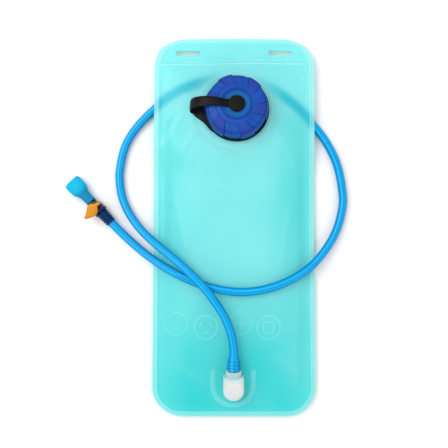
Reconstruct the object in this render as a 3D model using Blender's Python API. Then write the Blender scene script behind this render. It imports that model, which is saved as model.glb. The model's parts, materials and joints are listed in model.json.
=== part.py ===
"""Hydration bladder: a flat two-litre film reservoir with a screw cap, a drinking tube and a bite valve.

Metres, +Z up. The reservoir lies on its back film on the plane z = 0 with its long side along Y and
the filler end at +Y. The origin is on that plane, under the middle of the reservoir.
"""
import math

import bmesh
import bpy
from mathutils import Matrix, Vector

# Reservoir outline and films
HALF_LENGTH = 0.206
HALF_WIDTH = 0.0879
WIDTH_TAPER = 0.0089            # half width lost for each metre towards +Y
CORNER_RADIUS = 0.0325
FILM_THICKNESS = 0.0008
FILM_GAP = 0.0003               # between the two films where they are welded
SEAM_WIDTH = 0.0065
HEADER_WELD_Y = 0.1795
SLOT_X = 0.0502
SLOT_Y = 0.1888
SLOT_LENGTH = 0.0265
SLOT_WIDTH = 0.0054
SLOT_RADIUS = SLOT_WIDTH / 2

# Height of the seam above the ground, and how far the films bulge away from it
SEAM_LOW = 0.0060
SEAM_HIGH = 0.0111
SEAM_LIFT_Y = (0.050, 0.098)
DROOP_START_Y = 0.168
DROOP_SLOPE = 0.052
FRONT_BULGE = 0.0120
FRONT_BULGE_LOSS = 0.0055
BULGE_LOSS_Y = (0.070, 0.130)
SIDE_RAMP = 0.050
BOTTOM_RAMP = 0.120
TOP_RAMP = 0.060
BACK_RAMP = 0.045
CORNER_POWER = 4.0

# Neck: centre on the film's upper face, and its lean towards +Y
NECK = Vector((0.0021, 0.1265, 0.0185))
NECK_LEAN = math.radians(6.0)
NECK_FLAT = (0.042, 0.058)      # the film is flat inside the first radius and free outside the second
NECK_HOLE_RADIUS = 0.0292
NECK_BORE_RADIUS = 0.0245
NECK_RADIUS = 0.0275
NECK_TOP = 0.0172
NECK_FLANGE_RADIUS = 0.0395
THREAD_PITCH = 0.0045
THREAD_HALF_ROOT = Vector((0.0, 0.0, 0.0012))
THREAD_HALF_CREST = Vector((0.0, 0.0, 0.0005))
NECK_THREAD_CREST = 0.0290
CAP_THREAD_CREST = 0.0280
CAP_BORE_RADIUS = 0.0297
CAP_BOTTOM = 0.0034
CAP_CEILING = 0.0206
CAP_TOP = 0.0238
CAP_LOBES = 6
CAP_LOBE_ANGLE = math.radians(27.0)
CAP_FIRST_LOBE = math.radians(-8.0)

# Outlet: centre on the film's upper face, and its lean up towards +Y
OUTLET = Vector((-0.0008, -0.1733, 0.0119))
OUTLET_LEAN = math.radians(8.0)
OUTLET_FLAT = (0.032, 0.044)
OUTLET_HOLE_RADIUS = 0.0088
OUTLET_AXIS_HEIGHT = 0.0096
FLANGE_DROP = 0.0015            # from the film's upper face to a weld flange under it
FLANGE_THICKNESS = 0.0011

# Hose and bite valve
HOSE_RADIUS = 0.0045
TAIL_BARBS_START = 0.0190       # along the outlet's axis
TAIL_END = 0.0424
VALVE_MOUTH = Vector((-0.1771, 0.0501, 0.0082))
VALVE_DIRECTION = Vector((0.695, -0.719, 0.0)).normalized()
VALVE_HEIGHT = VALVE_MOUTH.z
ROTOR_PLACE = 0.0400            # from the mouth's face, along the valve

SEGMENTS = 40

# The hose's route, from the outlet's tail to the bite valve's tail
HOSE_ROUTE = (
    (-0.0008, -0.1318, 0.0275),
    (-0.0012, -0.1262, 0.0282),
    (-0.0024, -0.1180, 0.0293),
    (-0.0058, -0.1063, 0.0305),
    (-0.0113, -0.0934, 0.0317),
    (-0.0208, -0.0784, 0.0326),
    (-0.0320, -0.0635, 0.0333),
    (-0.0445, -0.0505, 0.0326),
    (-0.0592, -0.0374, 0.0291),
    (-0.0743, -0.0255, 0.0236),
    (-0.0895, -0.0135, 0.0170),
    (-0.1038, 0.0004, 0.0110),
    (-0.1154, 0.0167, 0.0070),
    (-0.1220, 0.0320, 0.0053),
    (-0.1250, 0.0475, 0.0049),
    (-0.1250, 0.0626, 0.0048),
    (-0.1179, 0.0910, 0.0048),
    (-0.0993, 0.1173, 0.0048),
    (-0.0676, 0.1432, 0.0048),
    (-0.0261, 0.1582, 0.0048),
    (0.0176, 0.1577, 0.0048),
    (0.0548, 0.1399, 0.0048),
    (0.0887, 0.1091, 0.0048),
    (0.1105, 0.0735, 0.0048),
    (0.1188, 0.0342, 0.0048),
    (0.1165, 0.0123, 0.0051),
    (0.1097, -0.0073, 0.0066),
    (0.0989, -0.0246, 0.0098),
    (0.0842, -0.0410, 0.0144),
    (0.0664, -0.0532, 0.0192),
    (0.0468, -0.0619, 0.0226),
    (0.0253, -0.0674, 0.0237),
    (0.0041, -0.0688, 0.0240),
    (-0.0172, -0.0660, 0.0240),
    (-0.0374, -0.0602, 0.0236),
    (-0.0577, -0.0518, 0.0214),
    (-0.0762, -0.0419, 0.0172),
    (-0.0929, -0.0312, 0.0126),
    (-0.1086, -0.0188, 0.0094),
    (-0.1228, -0.0058, 0.0083),
    (-0.1321, 0.0036, 0.0082),
)
HOSE_POINTS = 64


# ---------------------------------------------------------------- helpers

def material(name, colour, roughness, metallic=0.0):
    """A plain Principled material of one colour."""
    made = bpy.data.materials.new(name)
    made.use_nodes = True
    shader = made.node_tree.nodes["Principled BSDF"]
    shader.inputs["Base Color"].default_value = (*colour, 1.0)
    shader.inputs["Roughness"].default_value = roughness
    shader.inputs["Metallic"].default_value = metallic
    return made


def frame(name, matrix):
    """An empty that carries the pieces modelled in its axes."""
    empty = bpy.data.objects.new(name, None)
    bpy.context.collection.objects.link(empty)
    empty.matrix_world = matrix
    return empty


def add_object(name, mesh, look=None, parent=None):
    made = bpy.data.objects.new(name, mesh)
    bpy.context.collection.objects.link(made)
    if look:
        mesh.materials.append(look)
    made.parent = parent
    return made


def finish_mesh(name, bm, smooth_angle=math.radians(35.0)):
    """Turn a bmesh into a mesh with outward faces and smooth round sides."""
    bmesh.ops.remove_doubles(bm, verts=bm.verts, dist=1e-7)
    bmesh.ops.recalc_face_normals(bm, faces=bm.faces)
    mesh = bpy.data.meshes.new(name)
    bm.to_mesh(mesh)
    bm.free()
    mesh.shade_smooth()
    mesh.set_sharp_from_angle(angle=smooth_angle)
    return mesh


def turned(name, profile, segments=SEGMENTS, axis="Z", first_angle=0.0):
    """Turn (radius, height) points about an axis; a profile off the axis closes on itself."""
    bm = bmesh.new()
    rings = []
    for radius, height in profile:
        ring = []
        for index in range(segments if radius > 0.0 else 1):
            angle = first_angle + math.tau * index / segments
            side, front = radius * math.cos(angle), radius * math.sin(angle)
            places = {"X": (height, front, -side), "Y": (side, height, -front), "Z": (side, front, height)}
            ring.append(bm.verts.new(places[axis]))
        rings.append(ring)
    pairs = list(zip(rings, rings[1:]))
    if profile[0][0] > 0.0 or profile[-1][0] > 0.0:
        pairs.append((rings[-1], rings[0]))
    for low, high in pairs:
        for index in range(segments):
            corners = [low[index % len(low)], low[(index + 1) % segments % len(low)],
                       high[(index + 1) % segments % len(high)], high[index % len(high)]]
            corners = [vert for place, vert in enumerate(corners) if vert not in corners[:place]]
            if len(corners) > 2:
                bm.faces.new(corners)
    return finish_mesh(name, bm)


def extruded(name, outline, low, high, bevel=0.0):
    """A flat outline of (x, y) points raised from low to high, with its upper edge bevelled."""
    bm = bmesh.new()
    base = [bm.verts.new((x, y, low)) for x, y in outline]
    top = [bm.verts.new((x, y, high)) for x, y in outline]
    bm.faces.new(base[::-1])
    bm.faces.new(top)
    for index in range(len(outline)):
        bm.faces.new((base[index - 1], base[index], top[index], top[index - 1]))
    if bevel:
        edges = [edge for edge in bm.edges if all(vert in top for vert in edge.verts)]
        bmesh.ops.bevel(bm, geom=edges, offset=bevel, segments=3, affect="EDGES", profile=0.5)
    return finish_mesh(name, bm)


def arc(centre, radius, start, end, count):
    """Points along an arc, angles in degrees."""
    steps = [math.radians(start + (end - start) * index / (count - 1)) for index in range(count)]
    return [(centre[0] + radius * math.cos(a), centre[1] + radius * math.sin(a)) for a in steps]


def cutter(name, mesh, parent=None):
    made = add_object(name, mesh, parent=parent)
    made.hide_render = True
    made.display_type = "WIRE"
    return made


def boolean(target, tool, operation="DIFFERENCE"):
    modifier = target.modifiers.new(operation.title(), "BOOLEAN")
    modifier.operation = operation
    modifier.solver = "EXACT"
    modifier.object = tool


def swept(name, centres, sections):
    """Join closed cross-sections into a tube with end caps; sections are lists of offsets."""
    bm = bmesh.new()
    rings = []
    for centre, section in zip(centres, sections):
        rings.append([bm.verts.new(centre + offset) for offset in section])
    count = len(rings[0])
    for near, far in zip(rings, rings[1:]):
        for index in range(count):
            following = (index + 1) % count
            bm.faces.new((near[index], near[following], far[following], far[index]))
    bm.faces.new(rings[0])
    bm.faces.new(rings[-1])
    return finish_mesh(name, bm)


def smooth_curve(route, count):
    """Evenly spaced points on a centripetal-like Catmull-Rom curve through the route."""
    points = [Vector(point) for point in route]
    padded = [2 * points[0] - points[1]] + points + [2 * points[-1] - points[-2]]
    fine = []
    for before, start, end, after in zip(padded, padded[1:], padded[2:], padded[3:]):
        span = (end - start).length
        leave = (end - before) / ((end - start).length + (start - before).length) * span
        arrive = (after - start) / ((after - end).length + (end - start).length) * span
        for step in range(24):
            t = step / 24
            fine.append((2 * t**3 - 3 * t**2 + 1) * start + (t**3 - 2 * t**2 + t) * leave
                        + (3 * t**2 - 2 * t**3) * end + (t**3 - t**2) * arrive)
    fine.append(points[-1])
    lengths = [0.0]
    for near, far in zip(fine, fine[1:]):
        lengths.append(lengths[-1] + (far - near).length)
    picked = []
    index = 0
    for number in range(count):
        wanted = lengths[-1] * number / (count - 1)
        while index < len(fine) - 2 and lengths[index + 1] < wanted:
            index += 1
        share = (wanted - lengths[index]) / (lengths[index + 1] - lengths[index])
        picked.append(fine[index].lerp(fine[index + 1], share))
    return picked


# ---------------------------------------------------------------- film surfaces

def smoothstep(low, high, value):
    t = min(max((value - low) / (high - low), 0.0), 1.0)
    return t * t * (3.0 - 2.0 * t)


def half_width(y):
    return HALF_WIDTH - WIDTH_TAPER * y


def seam_height(y):
    """Height of the middle of the weld: it rides over the hose and droops past it."""
    lift = smoothstep(*SEAM_LIFT_Y, y)
    droop = DROOP_SLOPE * max(y - DROOP_START_Y, 0.0)
    return SEAM_LOW + (SEAM_HIGH - SEAM_LOW) * lift - droop


def bulge(x, y, side_ramp, bottom_ramp, top_ramp):
    """0 at the welds and 1 well inside them."""
    side = 1.0 - (half_width(y) - SEAM_WIDTH - abs(x)) / side_ramp
    bottom = 1.0 - (y + HALF_LENGTH - SEAM_WIDTH) / bottom_ramp
    top = 1.0 - (HEADER_WELD_Y - y) / top_ramp
    across = min(max(side, 0.0), 1.0)
    along = min(max(bottom, top, 0.0), 1.0)
    nearness = (across**CORNER_POWER + along**CORNER_POWER) ** (1.0 / CORNER_POWER)
    return 1.0 - min(nearness, 1.0) ** 2


def edge_distance(x, y):
    """Distance inside the welds, never below 0."""
    side = half_width(y) - SEAM_WIDTH - abs(x)
    return max(min(side, y + HALF_LENGTH - SEAM_WIDTH, HEADER_WELD_Y - y), 0.0)


def front_height(x, y):
    """Upper face of the front film."""
    crown = FRONT_BULGE - FRONT_BULGE_LOSS * smoothstep(*BULGE_LOSS_Y, y)
    height = seam_height(y) + FILM_GAP / 2 + FILM_THICKNESS
    height += crown * bulge(x, y, SIDE_RAMP, BOTTOM_RAMP, TOP_RAMP)
    for centre, lean, flat in ((NECK, -NECK_LEAN, NECK_FLAT), (OUTLET, OUTLET_LEAN, OUTLET_FLAT)):
        plane = centre.z + (y - centre.y) * math.tan(lean)
        radius = math.hypot(x - centre.x, y - centre.y)
        share = (1.0 - smoothstep(*flat, radius)) * smoothstep(0.0, 0.006, edge_distance(x, y))
        height += share * (plane - height)
    return height


def back_height(x, y):
    """Lower face of the back film: on the ground in the middle, up over the hose at the filler end."""
    base = seam_height(y) - FILM_GAP / 2 - FILM_THICKNESS
    reach = (1.0 - smoothstep(*SEAM_LIFT_Y, y)) * (SEAM_LOW - FILM_GAP / 2 - FILM_THICKNESS)
    return base - reach * bulge(x, y, BACK_RAMP, BACK_RAMP, TOP_RAMP)


def outline_point(x, y):
    """Pull a point of the plain rectangle into the rounded corner."""
    inner_x = HALF_WIDTH - CORNER_RADIUS
    inner_y = HALF_LENGTH - CORNER_RADIUS
    u = max(abs(x) - inner_x, 0.0) / CORNER_RADIUS
    v = max(abs(y) - inner_y, 0.0) / CORNER_RADIUS
    if u > 0.0 and v > 0.0:
        x = math.copysign(inner_x + CORNER_RADIUS * u * math.sqrt(1.0 - v * v / 2.0), x)
        y = math.copysign(inner_y + CORNER_RADIUS * v * math.sqrt(1.0 - u * u / 2.0), y)
    return x * half_width(y) / HALF_WIDTH, y


def spread(start, end, count):
    return [start + (end - start) * index / count for index in range(count + 1)]


def film_mesh(name, lower_face):
    """A film as a closed sheet; lower_face gives its lower face's height."""
    inner = HALF_WIDTH - SEAM_WIDTH
    columns = [-HALF_WIDTH] + spread(-inner, inner, 14) + [HALF_WIDTH]
    rows = [-HALF_LENGTH] + spread(SEAM_WIDTH - HALF_LENGTH, HEADER_WELD_Y, 30)
    rows += [(HEADER_WELD_Y + HALF_LENGTH) / 2, HALF_LENGTH]
    bm = bmesh.new()
    layers = []
    for rise in (0.0, FILM_THICKNESS):
        grid = []
        for row in rows:
            places = [outline_point(column, row) for column in columns]
            grid.append([bm.verts.new((x, y, lower_face(x, y) + rise)) for x, y in places])
        layers.append(grid)
        for near, far in zip(grid, grid[1:]):
            for index in range(len(columns) - 1):
                bm.faces.new((near[index], near[index + 1], far[index + 1], far[index]))
    low, high = layers
    rims = []
    for grid in (low, high):
        left = [row[0] for row in grid]
        right = [row[-1] for row in grid]
        rims.append(grid[0] + right[1:] + grid[-1][-2::-1] + left[-2:0:-1])
    count = len(rims[0])
    for index in range(count):
        following = (index + 1) % count
        bm.faces.new((rims[0][index], rims[0][following], rims[1][following], rims[1][index]))
    return finish_mesh(name, bm, math.radians(60.0))


def make_films(look):
    front_mesh = film_mesh("front_film", lambda x, y: front_height(x, y) - FILM_THICKNESS)
    front = add_object("front_film", front_mesh, look)
    back = add_object("back_film", film_mesh("back_film", back_height), look)
    straight = (SLOT_LENGTH - SLOT_WIDTH) / 2
    for side, x in (("left", -SLOT_X), ("right", SLOT_X)):
        outline = arc((x + straight, SLOT_Y), SLOT_RADIUS, -90, 90, 7)
        outline += arc((x - straight, SLOT_Y), SLOT_RADIUS, 90, 270, 7)
        tool = cutter("slot_cutter_" + side, extruded("slot_cutter_" + side, outline, 0.0, 0.03))
        boolean(front, tool)
        boolean(back, tool)
    return front


# ---------------------------------------------------------------- threads

def thread_ridge(name, root, crest, start, turns):
    """A right-handed helical ridge from radius root to radius crest, fading at both ends."""
    per_turn = 32
    count = int(per_turn * turns) + 1
    centres = []
    sections = []
    for index in range(count):
        angle = math.tau * index / per_turn
        fade = min(index / 3.0, (count - 1 - index) / 3.0, 1.0)
        tip = root + (crest - root) * (0.25 + 0.75 * fade)
        outward = Vector((math.cos(angle), math.sin(angle), 0.0))
        centres.append(Vector((0.0, 0.0, start + THREAD_PITCH * angle / math.tau)))
        sections.append([
            outward * root - THREAD_HALF_ROOT,
            outward * tip - THREAD_HALF_CREST,
            outward * tip + THREAD_HALF_CREST,
            outward * root + THREAD_HALF_ROOT,
        ])
    return swept(name, centres, sections)


# ---------------------------------------------------------------- neck, cap and tether

def make_neck(front, clear, parent):
    """Weld flange under the film and threaded neck through it."""
    hole = cutter("neck_hole_cutter", turned("neck_hole_cutter", [
        (0.0, -0.02), (NECK_HOLE_RADIUS, -0.02), (NECK_HOLE_RADIUS, 0.02), (0.0, 0.02)]), parent)
    boolean(front, hole)
    top = -FLANGE_DROP
    low = top - FLANGE_THICKNESS
    collar = add_object("neck_collar", turned("neck_collar", [
        (NECK_BORE_RADIUS, low), (NECK_FLANGE_RADIUS, low), (NECK_FLANGE_RADIUS, top),
        (NECK_RADIUS, top), (NECK_RADIUS, NECK_TOP - 0.0006), (NECK_RADIUS - 0.0006, NECK_TOP),
        (NECK_BORE_RADIUS + 0.0004, NECK_TOP), (NECK_BORE_RADIUS, NECK_TOP - 0.0004)]), clear, parent)
    ridge = cutter("neck_thread_cutter", thread_ridge(
        "neck_thread_cutter", NECK_RADIUS - 0.0004, NECK_THREAD_CREST, 0.0070, 1.75), parent)
    boolean(collar, ridge, "UNION")


def cap_profile(lobe):
    """Outside of the cap as (radius, height), from the skirt's foot to the hole in its middle."""
    step = 0.0011 if lobe else 0.0
    return [
        (0.0329 + step, CAP_BOTTOM),
        (0.0326 + step, CAP_BOTTOM + 0.0080),
        (0.0311 + step, 0.0190 + step * 0.4),
        (0.0297 + step, 0.0207 + step * 0.6),
        (0.0165, 0.0229 + step * 0.8),
    ]


CAP_MIDDLE = ((0.0148, CAP_TOP - 0.0004), (0.0143, 0.0224), (0.0033, 0.0224), (0.0033, CAP_CEILING))


def make_cap_shell(look, parent):
    """Skirt and top with six raised grip lobes, a hole for the tether's button and an inside thread."""
    angles = []
    half = CAP_LOBE_ANGLE / 2
    for number in range(CAP_LOBES):
        centre = CAP_FIRST_LOBE + number * math.tau / CAP_LOBES
        next_start = centre + math.tau / CAP_LOBES - half
        angles += [(centre - half, True), (centre, True), (centre + half, True)]
        angles += [(centre + half + 0.006, False), ((centre + half + next_start) / 2, False)]
        angles += [(next_start - 0.006, False)]
    inside = [(CAP_BORE_RADIUS, CAP_CEILING), (CAP_BORE_RADIUS, CAP_BOTTOM)]
    bm = bmesh.new()
    rings = []
    for angle, lobe in angles:
        profile = cap_profile(lobe) + list(CAP_MIDDLE) + inside
        rings.append([bm.verts.new((r * math.cos(angle), r * math.sin(angle), h)) for r, h in profile])
    count = len(rings[0])
    for near, far in zip(rings, rings[1:] + rings[:1]):
        for index in range(count):
            following = (index + 1) % count
            bm.faces.new((near[index], near[following], far[following], far[index]))
    shell = add_object("cap_shell", finish_mesh("cap_shell", bm), look, parent)
    ridge = cutter("cap_thread_cutter", thread_ridge(
        "cap_thread_cutter", CAP_BORE_RADIUS + 0.0010, CAP_THREAD_CREST, 0.0092, 1.25), parent)
    boolean(shell, ridge, "UNION")


def make_cap_inside(pale, rubber, parent):
    """Dished inner plug and the gasket that it presses on the neck's rim."""
    add_object("cap_liner", turned("cap_liner", [
        (0.0, 0.0150), (0.0236, 0.0150), (0.0239, 0.0153), (0.0239, 0.0189), (0.0293, 0.0189),
        (0.0293, 0.0202), (0.0227, 0.0202), (0.0227, 0.0162), (0.0, 0.0162)], 36), pale, parent)
    add_object("cap_gasket", turned("cap_gasket", [
        (0.0250, 0.0175), (0.0288, 0.0175), (0.0291, 0.0178), (0.0291, 0.0183), (0.0288, 0.0186),
        (0.0250, 0.0186)], 32), rubber, parent)


def make_tether(black, fixed, moving):
    """Ring round the neck, strap, and the button that snaps through the cap's middle."""
    ring = add_object("tether_ring", turned("tether_ring", [
        (0.0296, 0.0004), (0.0352, 0.0004), (0.0352, 0.0026), (0.0348, 0.0030), (0.0296, 0.0030)]),
        black, fixed)
    ear = [(-0.0350, 0.0030), (-0.0382, -0.0007), (-0.0418, -0.0097), (-0.0365, -0.0128),
           (-0.0322, -0.0180), (-0.0276, -0.0234), (-0.0245, -0.0205), (-0.0310, -0.0100),
           (-0.0325, 0.0020)]
    ear_tool = cutter("tether_ear_cutter", extruded("tether_ear_cutter", ear, 0.0006, 0.0027), fixed)
    boolean(ring, ear_tool, "UNION")

    add_object("tether_button", turned("tether_button", [
        (0.0, 0.0182), (0.0026, 0.0182), (0.0043, 0.0196), (0.0043, 0.0203), (0.0029, 0.0203),
        (0.0029, 0.0227), (0.0084, 0.0227), (0.0088, 0.0231), (0.0088, 0.0248), (0.0080, 0.0253),
        (0.0, 0.0253)], 28), black, moving)

    route = (
        (-0.0093, 0.0004, 0.0242),
        (-0.0200, 0.0018, 0.0254),
        (-0.0310, 0.0028, 0.0248),
        (-0.0400, 0.0032, 0.0217),
        (-0.0459, 0.0029, 0.0165),
        (-0.0484, 0.0018, 0.0110),
        (-0.0484, 0.0000, 0.0064),
        (-0.0467, -0.0022, 0.0033),
        (-0.0438, -0.0038, 0.0020),
        (-0.0406, -0.0050, 0.0017),
    )
    centres = smooth_curve(route, 16)
    sections = []
    for index in range(len(centres)):
        ahead = centres[min(index + 1, len(centres) - 1)] - centres[max(index - 1, 0)]
        share = smoothstep(0.45, 1.0, index / (len(centres) - 1))
        across = Vector((0.0, 1.0, 0.0)).lerp(Vector((0.37, 0.93, 0.0)), share)
        across = (across - across.project(ahead)).normalized() * 0.0048
        thick = ahead.cross(across).normalized() * 0.0009
        sections.append([across + thick, across - thick, -across - thick, -across + thick])
    add_object("tether_strap", swept("tether_strap", centres, sections), black, moving)


# ---------------------------------------------------------------- outlet

def u_outline(radius, top, centre_y=0.0):
    """A half round at the bottom with straight sides up to top."""
    return arc((0.0, centre_y), radius, 180, 360, 15) + [(radius, top), (-radius, top)]


def barbed(start, length, big, small, barbs):
    """Outside of a barbed tail as (radius, distance) points with saw teeth."""
    pitch = length / barbs
    points = []
    for number in range(barbs):
        near = start + number * pitch
        points += [(small, near), (small, near + pitch * 0.25), (big, near + pitch * 0.35)]
    points.append((small, start + length))
    return points


def make_outlet(front, clear, white, rubber, hose_look, parent):
    hole = cutter("outlet_hole_cutter", turned("outlet_hole_cutter", [
        (0.0, -0.01), (OUTLET_HOLE_RADIUS, -0.01), (OUTLET_HOLE_RADIUS, 0.01), (0.0, 0.01)], 24), parent)
    boolean(front, hole)

    top = -FLANGE_DROP
    flange = add_object("outlet_flange", extruded(
        "outlet_flange", u_outline(0.0218, 0.0150, 0.0013), top - FLANGE_THICKNESS, top), clear, parent)
    spigot = cutter("outlet_spigot_cutter", turned("outlet_spigot_cutter", [
        (0.0, top - 0.0005), (0.0082, top - 0.0005), (0.0082, 0.0030), (0.0080, 0.0032),
        (0.0, 0.0032)], 28), parent)
    spigot_bore = cutter("spigot_bore_cutter", turned("spigot_bore_cutter", [
        (0.0, -0.01), (0.0050, -0.01), (0.0050, 0.01), (0.0, 0.01)], 24), parent)
    boolean(flange, spigot, "UNION")
    boolean(flange, spigot_bore)

    axis_height = OUTLET_AXIS_HEIGHT
    elbow = add_object("outlet_elbow", extruded(
        "outlet_elbow", u_outline(0.0113, 0.0155), 0.0003, 0.0180, 0.0040), white, parent)
    along = frame("outlet_axis_frame", parent.matrix_world @ Matrix.Translation((0, 0, axis_height)))
    passage = cutter("elbow_passage_cutter", turned("elbow_passage_cutter", [
        (0.0, -0.0040), (0.0032, -0.0040), (0.0032, 0.0094), (0.0055, 0.0094), (0.0055, 0.0165),
        (0.0, 0.0165)], 24, "Y"), along)
    socket = cutter("elbow_socket_cutter", turned("elbow_socket_cutter", [
        (0.0, -0.001), (0.0086, -0.001), (0.0086, 0.0060), (0.0045, 0.0060), (0.0045, axis_height),
        (0.0, axis_height)], 28), parent)
    boolean(elbow, passage)
    boolean(elbow, socket)
    add_object("elbow_seal", turned("elbow_seal", [
        (0.0066 + 0.0009 * math.cos(a), 0.0045 + 0.0009 * math.sin(a))
        for a in spread(0.0, math.tau * 5 / 6, 5)], 24), rubber, parent)

    tail = [(0.0022, 0.0098), (0.0050, 0.0098), (0.0052, 0.0100), (0.0052, 0.0112), (0.0038, 0.0112),
            (0.0038, 0.0134), (0.0052, 0.0134), (0.0052, 0.0158), (0.0088, 0.0158), (0.0091, 0.0162),
            (0.0091, 0.0186), (0.0088, 0.0190)]
    tail += barbed(TAIL_BARBS_START, TAIL_END - TAIL_BARBS_START, 0.0058, 0.0048, 4)
    tail.append((0.0022, TAIL_END))
    add_object("hose_tail", turned("hose_tail", tail, 24, "Y"), white, along)
    add_object("hose_tail_seal", turned("hose_tail_seal", [
        (0.0046 + 0.0007 * math.cos(a), 0.0123 + 0.0007 * math.sin(a))
        for a in spread(0.0, math.tau * 5 / 6, 5)], 24, "Y"), rubber, along)
    add_object("hose_end_outlet", turned("hose_end_outlet", [
        (0.0061, 0.0194), (0.0071, 0.0194), (0.0073, 0.0200), (0.0073, 0.0352), (0.0060, TAIL_END),
        (0.0053, TAIL_END), (0.0061, TAIL_END - 0.0026)], 24, "Y"), hose_look, along)


# ---------------------------------------------------------------- hose

def make_hose(look):
    curve = bpy.data.curves.new("hose", "CURVE")
    curve.dimensions = "3D"
    curve.bevel_depth = HOSE_RADIUS
    curve.bevel_resolution = 2
    curve.use_fill_caps = True
    spline = curve.splines.new("POLY")
    points = smooth_curve(HOSE_ROUTE, HOSE_POINTS)
    spline.points.add(len(points) - 1)
    for point, place in zip(spline.points, points):
        point.co = (*place, 1.0)
    curve.materials.append(look)
    bpy.context.collection.objects.link(bpy.data.objects.new("hose", curve))


# ---------------------------------------------------------------- bite valve and shut-off

def make_valve(navy, silicone, hose_look, parent):
    """Everything along the valve's axis: X runs from the mouth towards the hose."""
    body = add_object("valve_body", turned("valve_body", [
        (0.0, 0.0200), (0.0034, 0.0200), (0.0042, 0.0215), (0.0036, 0.0225), (0.0036, 0.0315),
        (0.0050, 0.0316), (0.0050, 0.0336), (0.0046, 0.0342), (0.0052, 0.0352), (0.0052, 0.0440),
        (0.0072, 0.0442), (0.0076, 0.0446), (0.0076, 0.0470), (0.0072, 0.0474), (0.0046, 0.0474)]
        + barbed(0.0476, 0.0169, 0.0051, 0.0042, 6) + [(0.0, 0.0645)], 24, "X"), navy, parent)
    pivot = Matrix.Translation((ROTOR_PLACE, 0.0, 0.0))
    upright = frame("valve_upright_frame", parent.matrix_world @ pivot)
    housing = cutter("housing_cutter", turned("housing_cutter", [
        (0.0, 0.0003 - VALVE_HEIGHT), (0.0066, 0.0003 - VALVE_HEIGHT), (0.0070, 0.0007 - VALVE_HEIGHT),
        (0.0070, 0.0066), (0.0066, 0.0070), (0.0, 0.0070)], 28, "Z", 0.08), upright)
    rotor_bore = cutter("rotor_bore_cutter", turned("rotor_bore_cutter", [
        (0.0, 0.0020 - VALVE_HEIGHT), (0.0049, 0.0020 - VALVE_HEIGHT), (0.0049, 0.0080), (0.0, 0.0080)],
        28, "Z", 0.05), upright)
    flow = cutter("flow_cutter", turned("flow_cutter", [
        (0.0, 0.0190), (0.0022, 0.0190), (0.0022, 0.0660), (0.0, 0.0660)], 18, "X", 0.09), parent)
    boolean(body, housing, "UNION")
    boolean(body, rotor_bore)
    boolean(body, flow)

    make_bite_valve(silicone, parent)
    add_object("hose_end_valve", turned("hose_end_valve", [
        (0.0054, 0.0478), (0.0061, 0.0478), (0.0063, 0.0484), (0.0060, 0.0610), (0.0052, 0.0645),
        (0.0046, 0.0645), (0.0054, 0.0634)], 24, "X"), hose_look, parent)
    return upright


def make_bite_valve(look, parent):
    """Soft oval mouthpiece on a round neck, hollow from behind, with its slit end closed."""
    stations = ((0.0000, 0.0070, 0.0048), (0.0014, 0.0090, 0.0068), (0.0080, 0.0095, 0.0075),
                (0.0145, 0.0092, 0.0073), (0.0190, 0.0056, 0.0056), (0.0312, 0.0055, 0.0055),
                (0.0312, 0.0046, 0.0046), (0.0190, 0.0046, 0.0046), (0.0145, 0.0070, 0.0052),
                (0.0035, 0.0068, 0.0048))
    around = [math.tau * index / 20 for index in range(20)]
    centres = [Vector((place, 0.0, 0.0)) for place, _, _ in stations]
    sections = []
    for _, wide, tall in stations:
        sections.append([Vector((0.0, wide * math.cos(a), tall * math.sin(a))) for a in around])
    add_object("bite_valve", swept("bite_valve", centres, sections), look, parent)


def lever_outline():
    """Teardrop paddle: half widths along its length, from the short tail to the tip."""
    widths = ((-0.0078, 0.0004), (-0.0066, 0.0018), (-0.0048, 0.0021), (-0.0030, 0.0028), (-0.0008, 0.0046),
              (0.0018, 0.0060), (0.0043, 0.0065), (0.0072, 0.0060), (0.0102, 0.0046), (0.0132, 0.0030),
              (0.0156, 0.0019), (0.0169, 0.0007))
    right = [(width, -along) for along, width in widths]
    left = [(-width, -along) for along, width in reversed(widths)]
    return right + left


def make_shutoff(orange, navy, rubber, parent):
    """Rotor with its cross hole and seals, and the lever on top of it."""
    low = 0.0023 - VALVE_HEIGHT
    rotor = add_object("valve_rotor", turned("valve_rotor", [
        (0.0, low), (0.0045, low), (0.0045, low + 0.0010), (0.0032, low + 0.0010), (0.0032, low + 0.0027),
        (0.0045, low + 0.0027), (0.0045, 0.0034), (0.0032, 0.0034), (0.0032, 0.0051), (0.0045, 0.0051),
        (0.0045, 0.0068), (0.0022, 0.0073), (0.0022, 0.0092), (0.0, 0.0092)], 28), navy, parent)
    hole = cutter("rotor_hole_cutter", turned("rotor_hole_cutter", [
        (0.0, -0.01), (0.0020, -0.01), (0.0020, 0.01), (0.0, 0.01)], 16, "Y"), parent)
    boolean(rotor, hole)
    for name, height in (("rotor_seal_lower", low + 0.00185), ("rotor_seal_upper", 0.00425)):
        add_object(name, turned(name, [
            (0.0041 + 0.00055 * math.cos(a), height + 0.00055 * math.sin(a))
            for a in spread(0.0, math.tau * 5 / 6, 5)], 20), rubber, parent)
    lever = add_object("shutoff_lever", extruded("shutoff_lever", lever_outline(), 0.0079, 0.0112, 0.0010),
                       orange, parent)
    pocket = cutter("lever_pocket_cutter", turned("lever_pocket_cutter", [
        (0.0, 0.0070), (0.0025, 0.0070), (0.0025, 0.0096), (0.0, 0.0096)], 20), parent)
    boolean(lever, pocket)


# ---------------------------------------------------------------- assembly

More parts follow.
